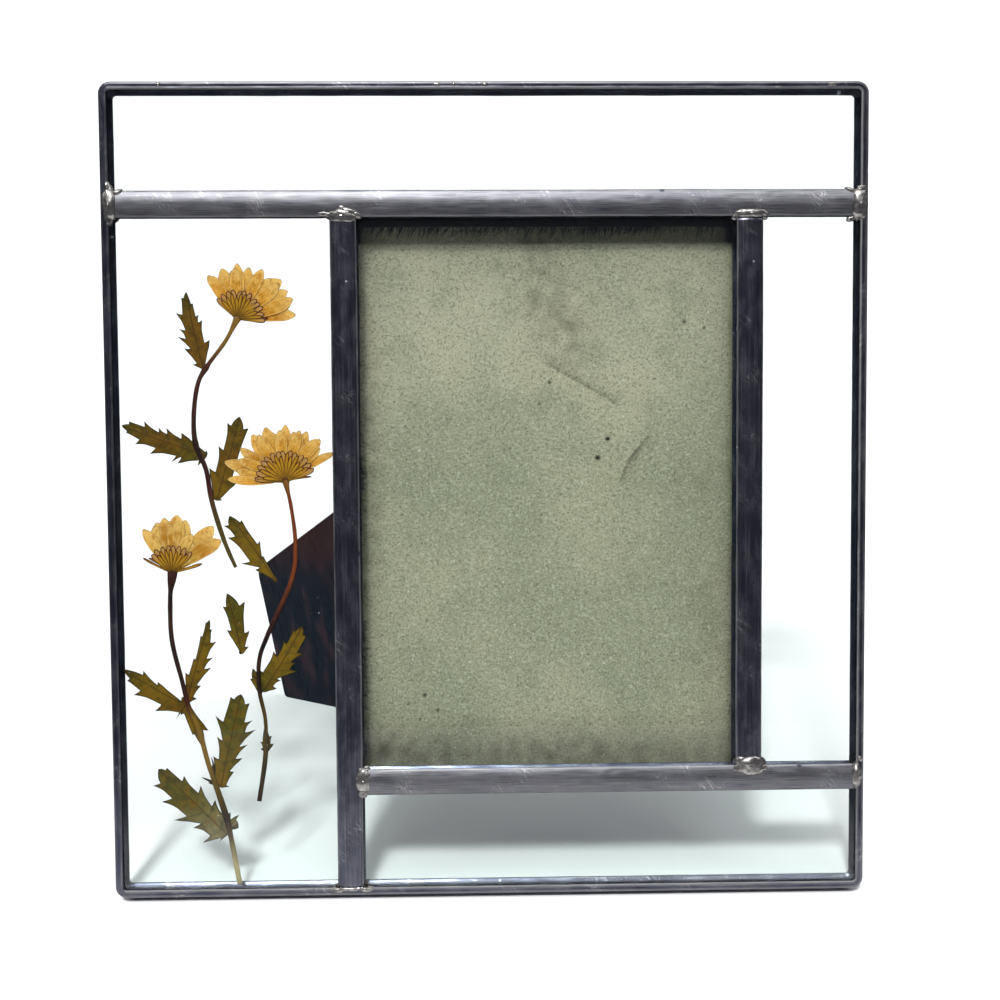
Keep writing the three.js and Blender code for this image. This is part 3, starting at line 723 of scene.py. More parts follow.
def dents(seed, length, count):
    """Places along and across a strip, with a radius and a depth."""
    rng, ranges = random.Random(seed), ((0, length), (-3, 3), (0.5, 1.5), (0.05, 0.16))
    return [[rng.uniform(low, high) for low, high in ranges] for _ in range(count)]


def dented(dents_here, along, across):
    return sum(
        depth * max(0.0, 1 - ((along - x) ** 2 + (across - y) ** 2) / radius**2)
        for x, y, radius, depth in dents_here
    )


def straight(upright, fixed, start, end, step):
    """Stations on a line: distance along, x, z, the direction across and the share of the wear."""
    length = end - start
    rings = int(length / step) + 1
    for i in range(rings + 1):
        along = length * i / rings
        yield (along, fixed, start + along, 1, 0, 1) if upright else (along, start + along, fixed, 0, 1, 1)


def sweep(stations, section, shape, offset, joined=False):
    """Sets a section (across, depth, wear) down at each station, with shape to move its points."""
    girth = np.cumsum([0] + [math.dist(a[:2], b[:2]) for a, b in zip(section, section[1:])])
    points, strip, rubbed = [], [], []
    for along, x, z, dx, dz, share in stations:
        for (across, depth, wear), turn in zip(section, girth):
            across, depth = shape(along, across, depth)
            points.append((x + dx * across, depth, z + dz * across))
            strip.append((along + offset, turn, 0))
            rubbed.append(wear * share)
    heap = Heap()
    heap.add_rings(points, len(section), joined, strip=strip, rubbed=rubbed)
    return heap


def came_bar(name, upright, fixed, start, end, seed):
    """A came along z (upright) or along x, with its middle at fixed. The rails are rubbed more."""
    hollows = dents(seed, end - start, BAR_DENTS)

    def shape(along, across, depth):
        ripple = 0.07 * wobble(seed, along / 7, across / 2) + 0.03 * wobble(seed + 1, along / 1.6, across)
        if depth < BAR_EDGE + LIP:
            depth += ripple + dented(hollows, along, across)
        return across + (0.1 * wobble(seed, along / 40) + 0.05 * wobble(seed + 2, along / 5, across)), depth

    section = bar_section(0.12, 1) if upright else bar_section(0.5, 0.8)
    heap = sweep(straight(upright, fixed, start, end, RING_STEP), section, shape, seed * 31)
    heap.object("came_" + name, PATINA, "came", [name + "_came"])


came_bar("top_rail", False, TOP_RAIL, -EDGE_REACH, EDGE_REACH, 1)
came_bar("bottom_rail", False, BOTTOM_RAIL, LEFT_STILE + REACH, EDGE_REACH, 2)
came_bar("left_stile", True, LEFT_STILE, -HEIGHT / 2 + EDGE_SIGHT + 0.3, TOP_RAIL - REACH, 3)
came_bar("right_stile", True, RIGHT_STILE, BOTTOM_RAIL + REACH, TOP_RAIL - REACH, 4)
print("four inner cames")

# %% [markdown]
# The edge came is a U, bent round all four sides from one strip, so its corners are rounded outside.
# Four straight pieces would need mitres that the real one hasn't got. So the same sweep follows a closed
# path of sides and quarter circles. It starts and ends under the solder at the bottom, as the strip does.

# %% Edge came
CORNER_RADIUS, CORNER_STEPS, EDGE_DENTS = 3.5, 8, 40


def edge_path():
    """Stations once round from the bottom seam. The left side is kept darker, as painted shade."""
    half_x, half_z = WIDTH / 2 - CORNER_RADIUS, HEIGHT / 2 - CORNER_RADIUS
    centres = [(half_x, -half_z), (half_x, half_z), (-half_x, half_z), (-half_x, -half_z)]
    path = [(LEFT_STILE, -HEIGHT / 2, 0, 1)]
    for quarter, (cx, cz) in enumerate(centres):
        for i in range(CORNER_STEPS + 1):
            angle = math.radians(-90 + 90 * quarter + 90 * i / CORNER_STEPS)
            dx, dz = math.cos(angle), math.sin(angle)
            path.append((cx + CORNER_RADIUS * dx, cz + CORNER_RADIUS * dz, -dx, -dz))
    path.append(path[0])
    stations, distance = [], 0.0
    for here, there in zip(path, path[1:]):
        gap = math.dist(here[:2], there[:2])
        steps = max(1, round(gap / RING_STEP))
        for t in (i / steps for i in range(steps)):
            x, z, dx, dz = (a + (b - a) * t for a, b in zip(here, there))
            # The left side's smaller share keeps it darker, as painted shade.
            stations.append((distance + gap * t, x, z, dx, dz, 0.3 if dx > 0.5 else 1))
        distance += gap
    return stations


def edge_section():
    """Inward reach, depth and wear, once round the U, with a bead along the sight edge."""
    front = [(0, 1.0, 0.1), (0.08, 0.5, 0.3), (0.3, 0.15, 0.7), (0.62, 0, 0.5), (1.1, 0.05, 0.1),
             (1.55, 0.08, 0.1), (1.9, 0.0, 0.5), (2.2, 0.03, 1.0), (2.4, 0.22, 1.0), (2.4, 0.6, 0.3),
             (2.25, CAME_WALL, 0), (CAME_WALL, CAME_WALL, 0)]
    outside = [(0, depth, 0.1) for depth in (2.5, CAME_DEPTH / 2, CAME_DEPTH - 2.5)]
    back = [(reach, CAME_DEPTH - depth, wear) for reach, depth, wear in front]
    return front + back[::-1] + outside[::-1]


def edge_came():
    path = edge_path()
    hollows = dents(6, path[-1][0], EDGE_DENTS)

    def shape(along, reach, depth):
        front = depth < CAME_WALL
        if front:
            depth += max(0.0, 0.035 * wobble(6, along / 6, reach) + dented(hollows, along, reach))
        if reach > 1 or not front:
            reach += 0.09 * max(0.0, wobble(7, along / 9, depth))
        return reach, depth

    sweep(path, edge_section(), shape, 0, True).object("came_edge", PATINA, "came", ["perimeter_came"])


edge_came()
print("the edge came, swept once round")

# %% [markdown]
# Solder lies on the cames like a thick drop on a crossing: it follows the faces beneath, fills the
# corner between them and ends in an uneven edge. Sculpting would do it, but a formula is enough. A fan
# of points is laid over the joint, each point finds the nearest metal surface below it, and a dome
# with lumps is added on top. Extra drops and spikes give each joint its own shape.

# %% Solder joints
SPOKES, RINGS = 44, 12
SUNK = 0.35


def metal_depth(x, z):
    """How far behind the front face the metal lies at a point seen from the front."""
    found = [1.0]
    if z > -HEIGHT / 2 + BAR_HALF and abs(x - LEFT_STILE) < BAR_HALF and z < TOP_RAIL:
        found.append(crown(x - LEFT_STILE))
    if BOTTOM_RAIL < z < TOP_RAIL and abs(x - RIGHT_STILE) < BAR_HALF:
        found.append(crown(x - RIGHT_STILE))
    if abs(z - TOP_RAIL) < BAR_HALF and abs(x) < WIDTH / 2 - 2:
        found.append(crown(z - TOP_RAIL))
    if abs(z - BOTTOM_RAIL) < BAR_HALF and LEFT_STILE < x < WIDTH / 2 - 2:
        found.append(crown(z - BOTTOM_RAIL))
    if max(abs(x) - WIDTH / 2, abs(z) - HEIGHT / 2) > -EDGE_SIGHT:
        found.append(0.0)
    return min(found)


def drop(heap, x, z, width, height, rise, seed, tilt=0.0, behind=False):
    """One lump of solder: a dome with an uneven outline over the metal."""
    points, rubbed = [], []
    turn = Matrix.Rotation(math.radians(tilt), 2)
    for ring in range(RINGS + 1):
        share = (ring / RINGS) ** 0.8
        for dx, dz in circle(SPOKES):
            outline = 1 + 0.2 * wobble(seed, dx * 1.6, dz * 1.6) + 0.1 * wobble(seed + 3, dx * 4, dz * 4)
            flat = turn @ Vector((dx * share * outline * width / 2, dz * share * outline * height / 2))
            px, pz = x + flat.x, z + flat.y
            lumps = 1 + 0.25 * wobble(seed + 1, px / 1.8, pz / 1.8)
            dome = rise * math.sqrt(max(0.0, 1 - share**2)) * lumps
            base = metal_depth(px, pz)
            if share < 1:
                base = 0.65 * base + 0.35 * metal_depth(x, z)
            depth = base - dome + SUNK * share**6
            points.append((px, CAME_DEPTH - depth if behind else depth, pz))
            rub = 1.6 * share * (1 - share) * (0.6 + 0.8 * wobble(seed + 2, px, pz))
            rubbed.append(max(0.0, min(1.0, rub)))
    heap.add_rings(points, SPOKES, rubbed=rubbed)


print("a drop is", SPOKES, "points round and", RINGS, "rings deep")

# %% [markdown]
# Every joint was melted by hand, so no two are alike. One lump copied to all of them would show at once,
# so each joint lists its own drops. Behind, only the joints at the edge came have one, because the
# others would be filed flush under the card.

# %% Drops at each joint
# Place, width, height, rise and tilt of each drop.
JOINTS = {
    "top_rail_left": [(-111.6, 86.3, 4.6, 11.5, 0.75, 0), (-111.9, 91.2, 1.7, 4.4, 0.8, 8),
                      (-109.2, 90, 3.4, 2, 0.6, 30)],
    "top_rail_right": [(111.6, 86, 5, 10.8, 0.8, 0), (112.3, 90.6, 3, 2.4, 0.7, 0),
                       (109, 90.2, 3.4, 1.5, 0.5, -24), (109.6, 81.9, 4, 1.7, 0.45, 14)],
    "bottom_rail_right": [(112, -87.2, 3.4, 8.4, 0.6, 0), (113, -81.9, 1.5, 2.2, 0.6, 30)],
    "left_stile_bottom": [(-42.6, -119.4, 10.4, 4.2, 0.55, 0), (-47.2, -120.6, 4.5, 1.8, 0.4, 0),
                          (-38, -120.5, 4.4, 1.9, 0.4, 0)],
    "left_stile_top": [(-43.2, 82.9, 9.2, 4.4, 0.55, 0), (-41.2, 83.9, 5.6, 2.8, 0.5, -14),
                       (-47.6, 83.2, 6.4, 1.8, 0.45, -8), (-38.6, 83.1, 3.4, 2, 0.45, -16),
                       (-43, 84.7, 2.6, 2.6, 0.4, 8)],
    "right_stile_top": [(78.9, 83.3, 11, 2.8, 0.7, 0), (74.4, 82.6, 2, 2.8, 0.5, -24),
                        (83.3, 82.7, 2, 2.4, 0.5, 24)],
    "bottom_rail_left": [(-38.7, -86.9, 4.8, 8.6, 0.32, 0), (-37.8, -83.3, 2.8, 1.6, 0.5, 0),
                         (-38.9, -91, 3, 3.4, 0.45, 20)],
    "right_stile_bottom": [(79.2, -83.6, 10, 6, 0.75, 0), (76.4, -82.2, 4, 3, 0.5, 0),
                           (83.2, -84, 3, 2.6, 0.5, 0)],
}
# Small splashes that were never cleaned off the top edge: x and width.
SPLASHES = [(-14.4, 2.6), (-9.5, 1), (-0.3, 2), (103.2, 3.4), (-96.5, 1.6)]
SPLASH_HEIGHT, REAR_SHARE = 121.3, 0.7

for seed, (joint, drops) in enumerate(JOINTS.items(), start=11):
    for suffix, listed, size in (("", drops, 1), ("_rear", drops[:1], REAR_SHARE)):
        if f"solder_{joint}{suffix}" in frame["nodes"]:
            heap = Heap()
            for i, (x, z, width, height, rise, tilt) in enumerate(listed):
                drop(heap, x, z, width * size, height * size, rise, seed + 20 * i, tilt, suffix == "_rear")
            heap.object(f"joint_{joint}{suffix}", SOLDER, "solder", [f"solder_{joint}{suffix}"])

heap = Heap()
for seed, (x, width) in enumerate(SPLASHES, start=50):
    drop(heap, x, SPLASH_HEIGHT, width, 1.3, 0.35, seed)
heap.object("stray_solder", SOLDER, "solder")
print(len(JOINTS), "joints in front, and the ones at the edge behind")

# %% [markdown]
# The card is a full sheet, seen through the picture glass. A wrinkle runs across it and its skin is
# torn beside that. A bump in the material would vanish from the side, so the face is really modelled,
# on a grid of half a millimetre. Holes and stains are few enough to be placed one by one. The same
# values paint shade on the card too: the top rail's shadow, and shade at the sides and beside the creases.

# %% Card back
CARD_FRONT, CARD_THICK, CARD_STEP = 10.3, 2.0, 0.5
CARD_LEFT, CARD_RIGHT, CARD_BOTTOM, CARD_TOP = -45.2, 81.2, -89.05, 88.15
SIGHT_LEFT, SIGHT_RIGHT, SIGHT_TOP = -38.85, 74.85, 80.6
# The painted shadow under the top rail starts at the first, and the card grows darker towards the bottom below the
# second.
SHADOW_BAND_FOOT, DARKER_BELOW = 75.2, -66
CREASES = [[(19.6, 38.3), (31.3, 31.7), (38.7, 27.1)], [(48.3, 16.5), (43, 9.8), (40.8, 4.5)]]
HOLES = [(18.9, 33.7, 0.5), (15.8, 27.2, 0.45), (36.8, 16.3, 0.75), (33.7, 10.5, 0.8), (28.8, 15.1, 0.35),
         (51.1, 34.7, 0.3), (-20.2, -62.6, 0.6), (-25.2, -65.4, 0.35), (-16.2, -67.4, 0.5), (-21.8, -70.2, 0.4),
         (-19.3, -39.5, 0.4), (60.5, 52, 0.5), (66.5, 50.2, 0.4)]
# The wide low smudge also makes the card darker along the bottom.
SMUDGES = [(19, 58, 9, 16, 0.5), (14, 75, 4, 8, 0.3), (27, 46, 7, 8, 0.4), (-33, -79, 12, 5, 0.7),
           (69, -40, 7, 30, 0.3), (18, -82, 55, 7, 0.45), (62, 2, 10, 8, 0.25), (-36, 10, 3, 60, 0.45),
           (44, -20, 12, 8, 0.15)]


def side_of(path, x, z):
    """Distance from a path of points, and on which side of it."""
    nearest, sign = 1e9, 1
    for (ax, az), (bx, bz) in zip(path, path[1:]):
        run = Vector((bx - ax, bz - az))
        offset = Vector((x - ax, z - az))
        t = max(0.0, min(1.0, offset.dot(run) / run.length_squared))
        away = (offset - run * t).length
        if away < nearest:
            nearest, sign = away, 1 if run.x * offset.y - run.y * offset.x > 0 else -1
    return nearest, sign


def card_relief(x, z):
    """How far a point of the card's face stands back from level, in millimetres."""
    depth = 0.03 * wobble(21, x / 9, z / 9) + 0.012 * wobble(22, x / 1.5, z / 1.5)
    for path in CREASES:
        away, side = side_of(path, x, z)
        depth -= 0.22 * math.exp(-((away / 0.5) ** 2))
        depth += 0.12 * math.exp(-away / 1.8) * (side > 0)
    for hx, hz, radius in HOLES:
        depth += 0.5 * math.exp(-(((x - hx) ** 2 + (z - hz) ** 2) / (0.7 * radius) ** 2))
    return max(-0.22, depth)


def card_stain(x, z):
    """How dark a point of the card is, from 0 to 1: holes, smudges, darker towards the bottom, painted shade at
    the sides and beside the creases, and a painted shadow under the top rail.
    """
    # Painted shade along both sides of the opening, where the stiles shade the card.
    sides = 0.42 * math.exp(-min(x - SIGHT_LEFT, SIGHT_RIGHT - x) / 1.5)
    # The card grows darker towards the bottom.
    stain = sides + 0.3 * max(0.0, min(1.0, (DARKER_BELOW - z) / 16))
    # Painted shadow of the top rail, darker to the right, and deeper painted shade behind the rail.
    if z > SHADOW_BAND_FOOT:
        stain += min(1.0, z - SHADOW_BAND_FOOT) * (0.66 + 0.002 * x) + max(0.0, min(0.4, z - SIGHT_TOP))
    for hx, hz, radius in HOLES:
        stain += 1.2 * math.exp(-(((x - hx) ** 2 + (z - hz) ** 2) / radius**2) ** 2)
    for sx, sz, wide, tall, strength in SMUDGES:
        fall = math.exp(-(((x - sx) / wide) ** 2 + ((z - sz) / tall) ** 2))
        stain += strength * fall * (0.5 + 0.7 * wobble(23, x / 4, z / 4))
    # Painted shade on one side of each crease, where the fold faces away from the light.
    for path in CREASES:
        away, side = side_of(path, x, z)
        stain += 0.85 * math.exp(-away / 1.3) * (side > 0) * (0.8 + 0.5 * wobble(24, x / 2, z / 2))
    return max(0.0, min(1.0, stain))


def steps_between(low, high, step):
    count = max(1, round((high - low) / step))
    return [low + (high - low) * i / count for i in range(count + 1)]


def card_back():
    heap = Heap()
    xs, zs = steps_between(CARD_LEFT, CARD_RIGHT, CARD_STEP), steps_between(CARD_BOTTOM, CARD_TOP, CARD_STEP)
    wide, tall = len(xs), len(zs)
    points = [(x, CARD_FRONT + card_relief(x, z), z) for z in zs for x in xs]
    stain = [card_stain(x, z) for z in zs for x in xs]
    rim = [*range(wide), *range(2 * wide - 1, wide * tall, wide)]
    rim += [*range(wide * tall - 2, wide * (tall - 1) - 1, -1), *range(wide * (tall - 2), 0, -wide)]
    behind = [len(points) + i for i in range(len(rim))]
    points += [(points[i][0], CARD_FRONT + CARD_THICK, points[i][2]) for i in rim]
    edge = [[rim[i - 1], rim[i], behind[i], behind[i - 1]] for i in range(len(rim))]
    heap.add(points, grid_faces(tall, wide) + edge + [behind], stain=stain + [0.0] * len(rim))
    heap.object("greyboard_back", GREYBOARD, "greyboard", ["card_back"])


card_back()
print("card back with", len(HOLES), "holes and", len(CREASES), "creases")

# %% [markdown]
# Flock rubbed off the velvet has crept in round the card's edges: short black hairs, thickest under the
# top rail and along the left side. Hair particles would be lost when the model is exported, so
# each hair is a thin three-sided taper, and all of them are joined in one mesh.

# %% Stray flock
HAIR_STEPS = 5
TOP_HAIRS, LEFT_HAIRS, RIGHT_HAIRS = 420, 220, 60


def hair(heap, x, y, z, angle, length, radius, bend, rng):
    """A tapering hair of three sides that curves as it goes."""
    angle, points = math.radians(angle), []
    for i in range(HAIR_STEPS + 1):
        thick = radius * (1 - 0.75 * i / HAIR_STEPS)
        for c, s in circle(3):
            points.append((x + c * thick * math.sin(angle), y + s * thick, z - c * thick * math.cos(angle)))
        x += math.cos(angle) * length / HAIR_STEPS
        z += math.sin(angle) * length / HAIR_STEPS
        angle += bend / HAIR_STEPS * rng.uniform(0.4, 1.6)
    heap.add_rings(points, 3)


def stray_flock():
    heap, rng = Heap(), random.Random(31)
    uniform, gauss, level = rng.uniform, rng.gauss, CARD_FRONT - 0.2
    for _ in range(TOP_HAIRS):
        x = rng.choice([uniform(-38, 74), gauss(34, 12), gauss(-12, 20)])
        if -38 < x < 74:
            hair(heap, x, level - uniform(0, 0.1), 81 - abs(gauss(0, 0.4)), gauss(-112, 16), uniform(0.8, 4.2),
                 uniform(0.08, 0.19), uniform(-0.5, 0.5), rng)
    for _ in range(LEFT_HAIRS):
        z = rng.choice([uniform(-80, 60), gauss(-50, 10), gauss(5, 6)])
        hair(heap, -39.2 + abs(gauss(0, 0.5)), level - uniform(0, 0.1), z, gauss(-25, 40), uniform(0.5, 2.2),
             uniform(0.07, 0.15), uniform(-1, 1), rng)
    for _ in range(RIGHT_HAIRS):
        hair(heap, 74.9 - abs(gauss(0, 0.4)), level - uniform(0, 0.1), uniform(-80, 80), gauss(205, 40),
             uniform(0.4, 1.4), 0.1, uniform(-1, 1), rng)
    heap.object("stray_flock", LINT, "velvet")
    return len(heap.points) // (3 * (HAIR_STEPS + 1))


print(stray_flock(), "stray hairs under the glass")

# %% [markdown]
# A stem was round when it was cut, and the press has made it a ridged ribbon, thicker where leaves
# once joined it. A bevelled curve would keep it round, so it is a flattened tube along a smooth path
# through a few points. Each stem has its own list of colours, because its colour changes a lot on the way.

# %% Stems
STEM_DEPTH, STEM_SIDES = 4.4, 14
FRONT_LAYER, BACK_LAYER = 4.2, 4.9


def smooth_path(points, step):
    """Points about a step apart on a smooth curve through the given ones."""
    ends = [points[0], *points, points[-1]]
    path = []
    for i in range(1, len(ends) - 2):
        a, b, c, d = (Vector(p) for p in ends[i - 1 : i + 3])
        count = max(1, round((c - b).length / step))
        for k in range(count):
            t = k / count
            path.append(0.5 * ((2 * b) + (c - a) * t + (2 * a - 5 * b + 4 * c - d) * t * t
                               + (3 * b - a - 3 * c + d) * t**3))
    return path + [Vector(points[-1])]


def between_stops(stops, t):
    """A colour or number from a list of (position, value), in between its neighbours."""
    for (t0, a), (t1, b) in zip(stops, stops[1:]):
        if t <= t1:
            share = (t - t0) / max(1e-6, t1 - t0)
            if isinstance(a, tuple):
                return tuple(p + (q - p) * share for p, q in zip(a, b))
            return a + (b - a) * share
    return stops[-1][1]


TAN, MAROON, INK = (0.15, 0.075, 0.008), (0.03, 0.004, 0.002), (0.005, 0.001, 0.001)
RUST, OLIVE, KHAKI = (0.13, 0.024, 0.003), (0.05, 0.034, 0.004), (0.3, 0.25, 0.12)
HAY = (0.14, 0.075, 0.006)

STEMS = {
    "stem_a": dict(
        points=[(-74.2, 55.0), (-75.2, 52.8), (-78.8, 46.2), (-84.6, 38.5), (-87.3, 33.2), (-88.6, 24),
                (-88.2, 15.5), (-85.2, 7.7), (-83.6, -2), (-80.2, -13.6), (-76.8, -21.9)],
        widths=[(0, 3.0), (0.04, 1.9), (0.08, 1.25), (0.22, 1.2), (0.24, 1.9), (0.27, 1.3), (0.5, 1.5),
                (0.52, 1.9), (0.56, 1.5), (0.82, 1.5), (1, 1.1)],
        colours=[(0, TAN), (0.12, TAN), (0.22, MAROON), (0.55, INK), (0.7, MAROON), (0.82, OLIVE), (1, OLIVE)],
    ),
    "stem_b": dict(
        points=[(-61.6, 6.4), (-61.3, 3.6), (-59.7, -4.6), (-58.7, -15.3), (-60.1, -26), (-67.6, -42.8),
                (-70.2, -50.4), (-70.3, -59.7), (-68.6, -69), (-68.8, -80), (-70.9, -93.8)],
        widths=[(0, 3.0), (0.04, 1.7), (0.07, 1.1), (0.3, 1.3), (0.45, 1.5), (0.6, 1.3), (0.72, 1.2), (0.78, 1.1),
                (0.84, 1.5), (1, 1.4)],
        colours=[(0, TAN), (0.08, RUST), (0.3, RUST), (0.42, MAROON), (0.5, INK), (0.64, INK), (0.74, OLIVE),
                 (1, INK)],
    ),
    "stem_c": dict(
        points=[(-95.9, -21.2), (-96.1, -24.2), (-96.8, -31.8), (-96.5, -44), (-93.7, -56.4), (-91.9, -64),
                (-88.8, -71.8), (-86, -82.7), (-82.5, -93.6), (-80.2, -102.4), (-77.2, -119.6)],
        widths=[(0, 3.4), (0.05, 2.4), (0.08, 1.4), (0.3, 1.35), (0.42, 1.3), (0.5, 1.7), (0.65, 1.3), (0.74, 1.9),
                (0.78, 1.9), (0.86, 1.5), (1, 1.6)],
        colours=[(0, MAROON), (0.08, INK), (0.36, INK), (0.42, MAROON), (0.47, HAY), (0.6, HAY), (0.72, OLIVE),
                 (0.8, INK), (0.86, OLIVE), (0.93, KHAKI), (1, KHAKI)],
    ),
}


def stem(name, points, widths, colours, seed):
    path = smooth_path(points, 0.7)
    rows, blade, pigment, travelled = [], [], [], 0.0
    for i, at in enumerate(path):
        ahead = (path[min(i + 1, len(path) - 1)] - path[max(i - 1, 0)]).normalized()
        across = Vector((-ahead.y, ahead.x))
        t = i / (len(path) - 1)
        half = between_stops(widths, t) / 2 * (1 + 0.08 * wobble(seed, i / 5))
        travelled += (at - path[i - 1]).length if i else 0
        sunk = 0.3 * max(0.0, 1 - travelled / 4)
        for side, (c, s) in enumerate(circle(STEM_SIDES)):
            ridge = 1 + 0.1 * math.cos(5 * (2 * math.pi * side / STEM_SIDES) + seed)
            flat = at + across * (c * half * ridge)
            rows.append((flat.x, STEM_DEPTH + sunk + s * 0.2 * ridge, flat.y))
            blade.append((travelled, c * half, s))
            pigment.append((*between_stops(colours, t), 1))
    heap = Heap()
    heap.add_rings(rows, STEM_SIDES, blade=blade, pigment=pigment)
    heap.object("pressed_" + name, STEM, "stem", [name])


for seed, (name, given) in enumerate(STEMS.items(), start=61):
    stem(name, seed=seed, **given)
print(len(STEMS), "stems")

# %% [markdown]
# A leaf is a thin blade with a sharp tooth where each side vein ends. Cutting the outline from a flat
# sheet would give teeth, but no veins. Here the blade is a grid instead: its rows slant forward from the
# midrib as the veins do, and each row reaches as far as the outline does at that place. So teeth,
# veins and the folds between them come from the same rows. Every point also keeps its distance from
# the outline, for the dark rim.

# %% Leaves
SLANT, ROW_STEP, COLUMNS = 0.6, 0.4, 9
NOTCH_PAST, NOTCH_DEPTH = 0.3, 0.56
LEAF_THICKNESS = 0.16
GREEN, GOLD, BROWN = (0.062, 0.052, 0.003), (0.16, 0.09, 0.003), (0.11, 0.048, 0.002)
GREY, PALE = (0.078, 0.068, 0.008), (0.2, 0.165, 0.075)
DARK = (0.009, 0.011, 0.004)

# A leaf is its base, its tip, its colours on the way, and the teeth of its left and right side, each
# as the distance forward and the distance sideways.
LEAVES = {
    "leaf_a_upper": [
        (-85.6, 38.2), (-90.3, 61.1), (BROWN, BROWN, GREEN),
        [(1.8, 2.8), (7, 4.1), (10.9, 5.2), (13.1, 4.3), (17.9, 4.2), (22, 1.8)],
        [(0.5, 1.2), (8, 4), (14.3, 3.2), (16.1, 2.6), (19.7, 1.3)],
    ],
    "leaf_a_left": [
        (-85, 12), (-110.4, 21.2), (GREEN, BROWN, GREEN),
        [(1.7, 3.9), (7.6, 5.2), (9.6, 5.6), (16.4, 5.2), (21.5, 3.9), (25.2, 1.6)],
        [(0.6, 1.6), (9.5, 4.1), (14.2, 4), (16.5, 3.4), (21.1, 3.6), (25.4, 2)],
    ],
    "leaf_a_right": [
        (-82.4, -1.6), (-75, 23.7), (GOLD, BROWN, GREEN),
        [(0.8, 2.4), (8.9, 4.9), (16.1, 4), (23.6, 3.2)], [(0.6, 1.8), (7.5, 4.6), (23.7, 3.4)],
    ],
    "leaf_b": [
        (-69.4, -60.1), (-57, -40), (GREEN, GOLD, GOLD),
        [(1.1, 2.7), (2.8, 5.9), (5.5, 5.7), (12.4, 3.9), (17, 3), (21.3, 2.1)],
        [(3, 3.1), (5.8, 2.8), (11.3, 6), (13.2, 4.4), (16.7, 4.7), (21.8, 2.6)],
    ],
    "bract_b": [
        (-68.6, -78.8), (-69.1, -71.4), (GREEN, GOLD, GREEN), [(1.2, 1.8), (3.4, 1.7)], [(2.4, 2.5), (5, 2.1)],
    ],
    "leaf_c_upper": [
        (-92.5, -63.3), (-85.1, -38), (BROWN, GOLD, GREEN),
        [(1.4, 1.7), (8.8, 2.7), (13.7, 1.4), (21, 1.3), (25.4, 1)],
        [(2.1, 2.6), (6.2, 2.9), (12.4, 4.5), (15.6, 4.3), (20.5, 3.9), (23.8, 1.5)],
    ],
    "leaf_c_left": [
        (-92.8, -64), (-111.5, -52.8), (BROWN, GOLD, GREEN),
        [(0.4, 5.3), (7.1, 6.1), (15.2, 5), (19.1, 2.3)], [(1.8, 0.9), (10.9, 2.3), (16.4, 3)],
    ],
    "leaf_c_right": [
        (-82.6, -89.6), (-76, -60.9), (GOLD, GREY, GREY),
        [(0.5, 4.1), (8.9, 4.1), (15.1, 4.2), (21.3, 6), (28, 2.9)],
        [(0.8, 2.5), (5.6, 3), (10.3, 4.7), (14.7, 5.4), (19.7, 6.8), (22.3, 5.3), (27.3, 3.2)],
    ],
    "leaf_c_lower": [
        (-80.8, -104.3), (-101.5, -83.7), (PALE, GREY, GREEN),
        [(0.4, 3.6), (3.7, 7.1), (9, 5.9), (14.9, 8.4), (21.5, 6.8), (26.8, 4.9)],
        [(0.4, 4.4), (4.3, 5.7), (10.3, 5), (16.5, 5.2), (22.2, 3.8), (27.7, 2)],
    ],
    "loose_leaf_upper": [
        (-64.7, -26.5), (-78.5, -6.3), (GOLD, GOLD, GREEN),
        [(1, 0.9), (6.7, 3.4), (10.7, 5.9), (19.4, 4.6), (23, 3.4)], [(1.1, 1), (8.8, 1), (13.2, 2.8),
                                                                      (21.4, 2.1)],
    ],
    "loose_leaf_lower": [
        (-75.6, -48.5), (-79.7, -29.9), (GOLD, GREEN, GREEN),
        [(0.8, 0.9), (8.2, 2.9), (15.5, 2.4)], [(1.8, 2.6), (6.5, 3.9), (15.5, 4.5)],
    ],
}
# Parts that belong to a leaf but grow apart from its blade: a lobe beyond the stem, and withered tips.
EXTRAS = {
    "leaf_b": [[(-70, -60.8), (-72.3, -53), (GREEN, GOLD, GREEN), [(5.4, 1.5)], [(3, 2), (6.6, 1.6)]]],
    "leaf_c_left": [[(-93.6, -61.5), (-87.6, -77.6), (BROWN, GOLD, GOLD), [(1.2, 1.2), (12.4, 3.6)], [(5, 2.6),
                                                                                                      (12, 1.4)]]],
    "leaf_c_right": [[(-84.6, -85.8), (-85.4, -80.2), (GREEN, DARK, DARK), [(3, 0.6)], [(2, 0.5)]],
                     [(-83.8, -88.6), (-88.4, -86.4), (GREEN, DARK, DARK), [(2.4, 0.8)], [(1.4, 0.6)]]],
    "leaf_c_lower": [[(-81.6, -101.6), (-77.5, -102.2), (GREY, PALE, PALE), [(1.5, 4.2)], [(1.8, 1.4)]]],
}
print(len(LEAVES), "leaves and", sum(len(parts) for parts in EXTRAS.values()), "parts that grow apart")

# %% [markdown]
# The edge of a real leaf swings out along each side vein and drops back into the notch behind it. A
# smooth curve through the teeth would round them off. So the reach at each row is worked out from the
# tooth before and the tooth after, and extra rows beside each vein keep the tips sharp.

# %% Leaf blades


def lean(row, length):
    """How much a row slants forward: not at the stalk, and fully by a third of the way."""
    return SLANT * min(1.0, 3 * row / length)


def outline_knots(teeth, length):
    """Where each tooth and notch lies, as (row, reach)."""
    knots = [(0.0, 0.55)]
    for forward, reach in teeth:
        row = forward
        for _ in range(6):
            row = max(0.05, forward - lean(row, length) * reach)
        if row <= knots[-1][0] + 0.1:
            row = knots[-1][0] + 0.15
        knots += [(row, reach), (row + NOTCH_PAST, reach * NOTCH_DEPTH)]
    return knots + [(length, 0.05)]


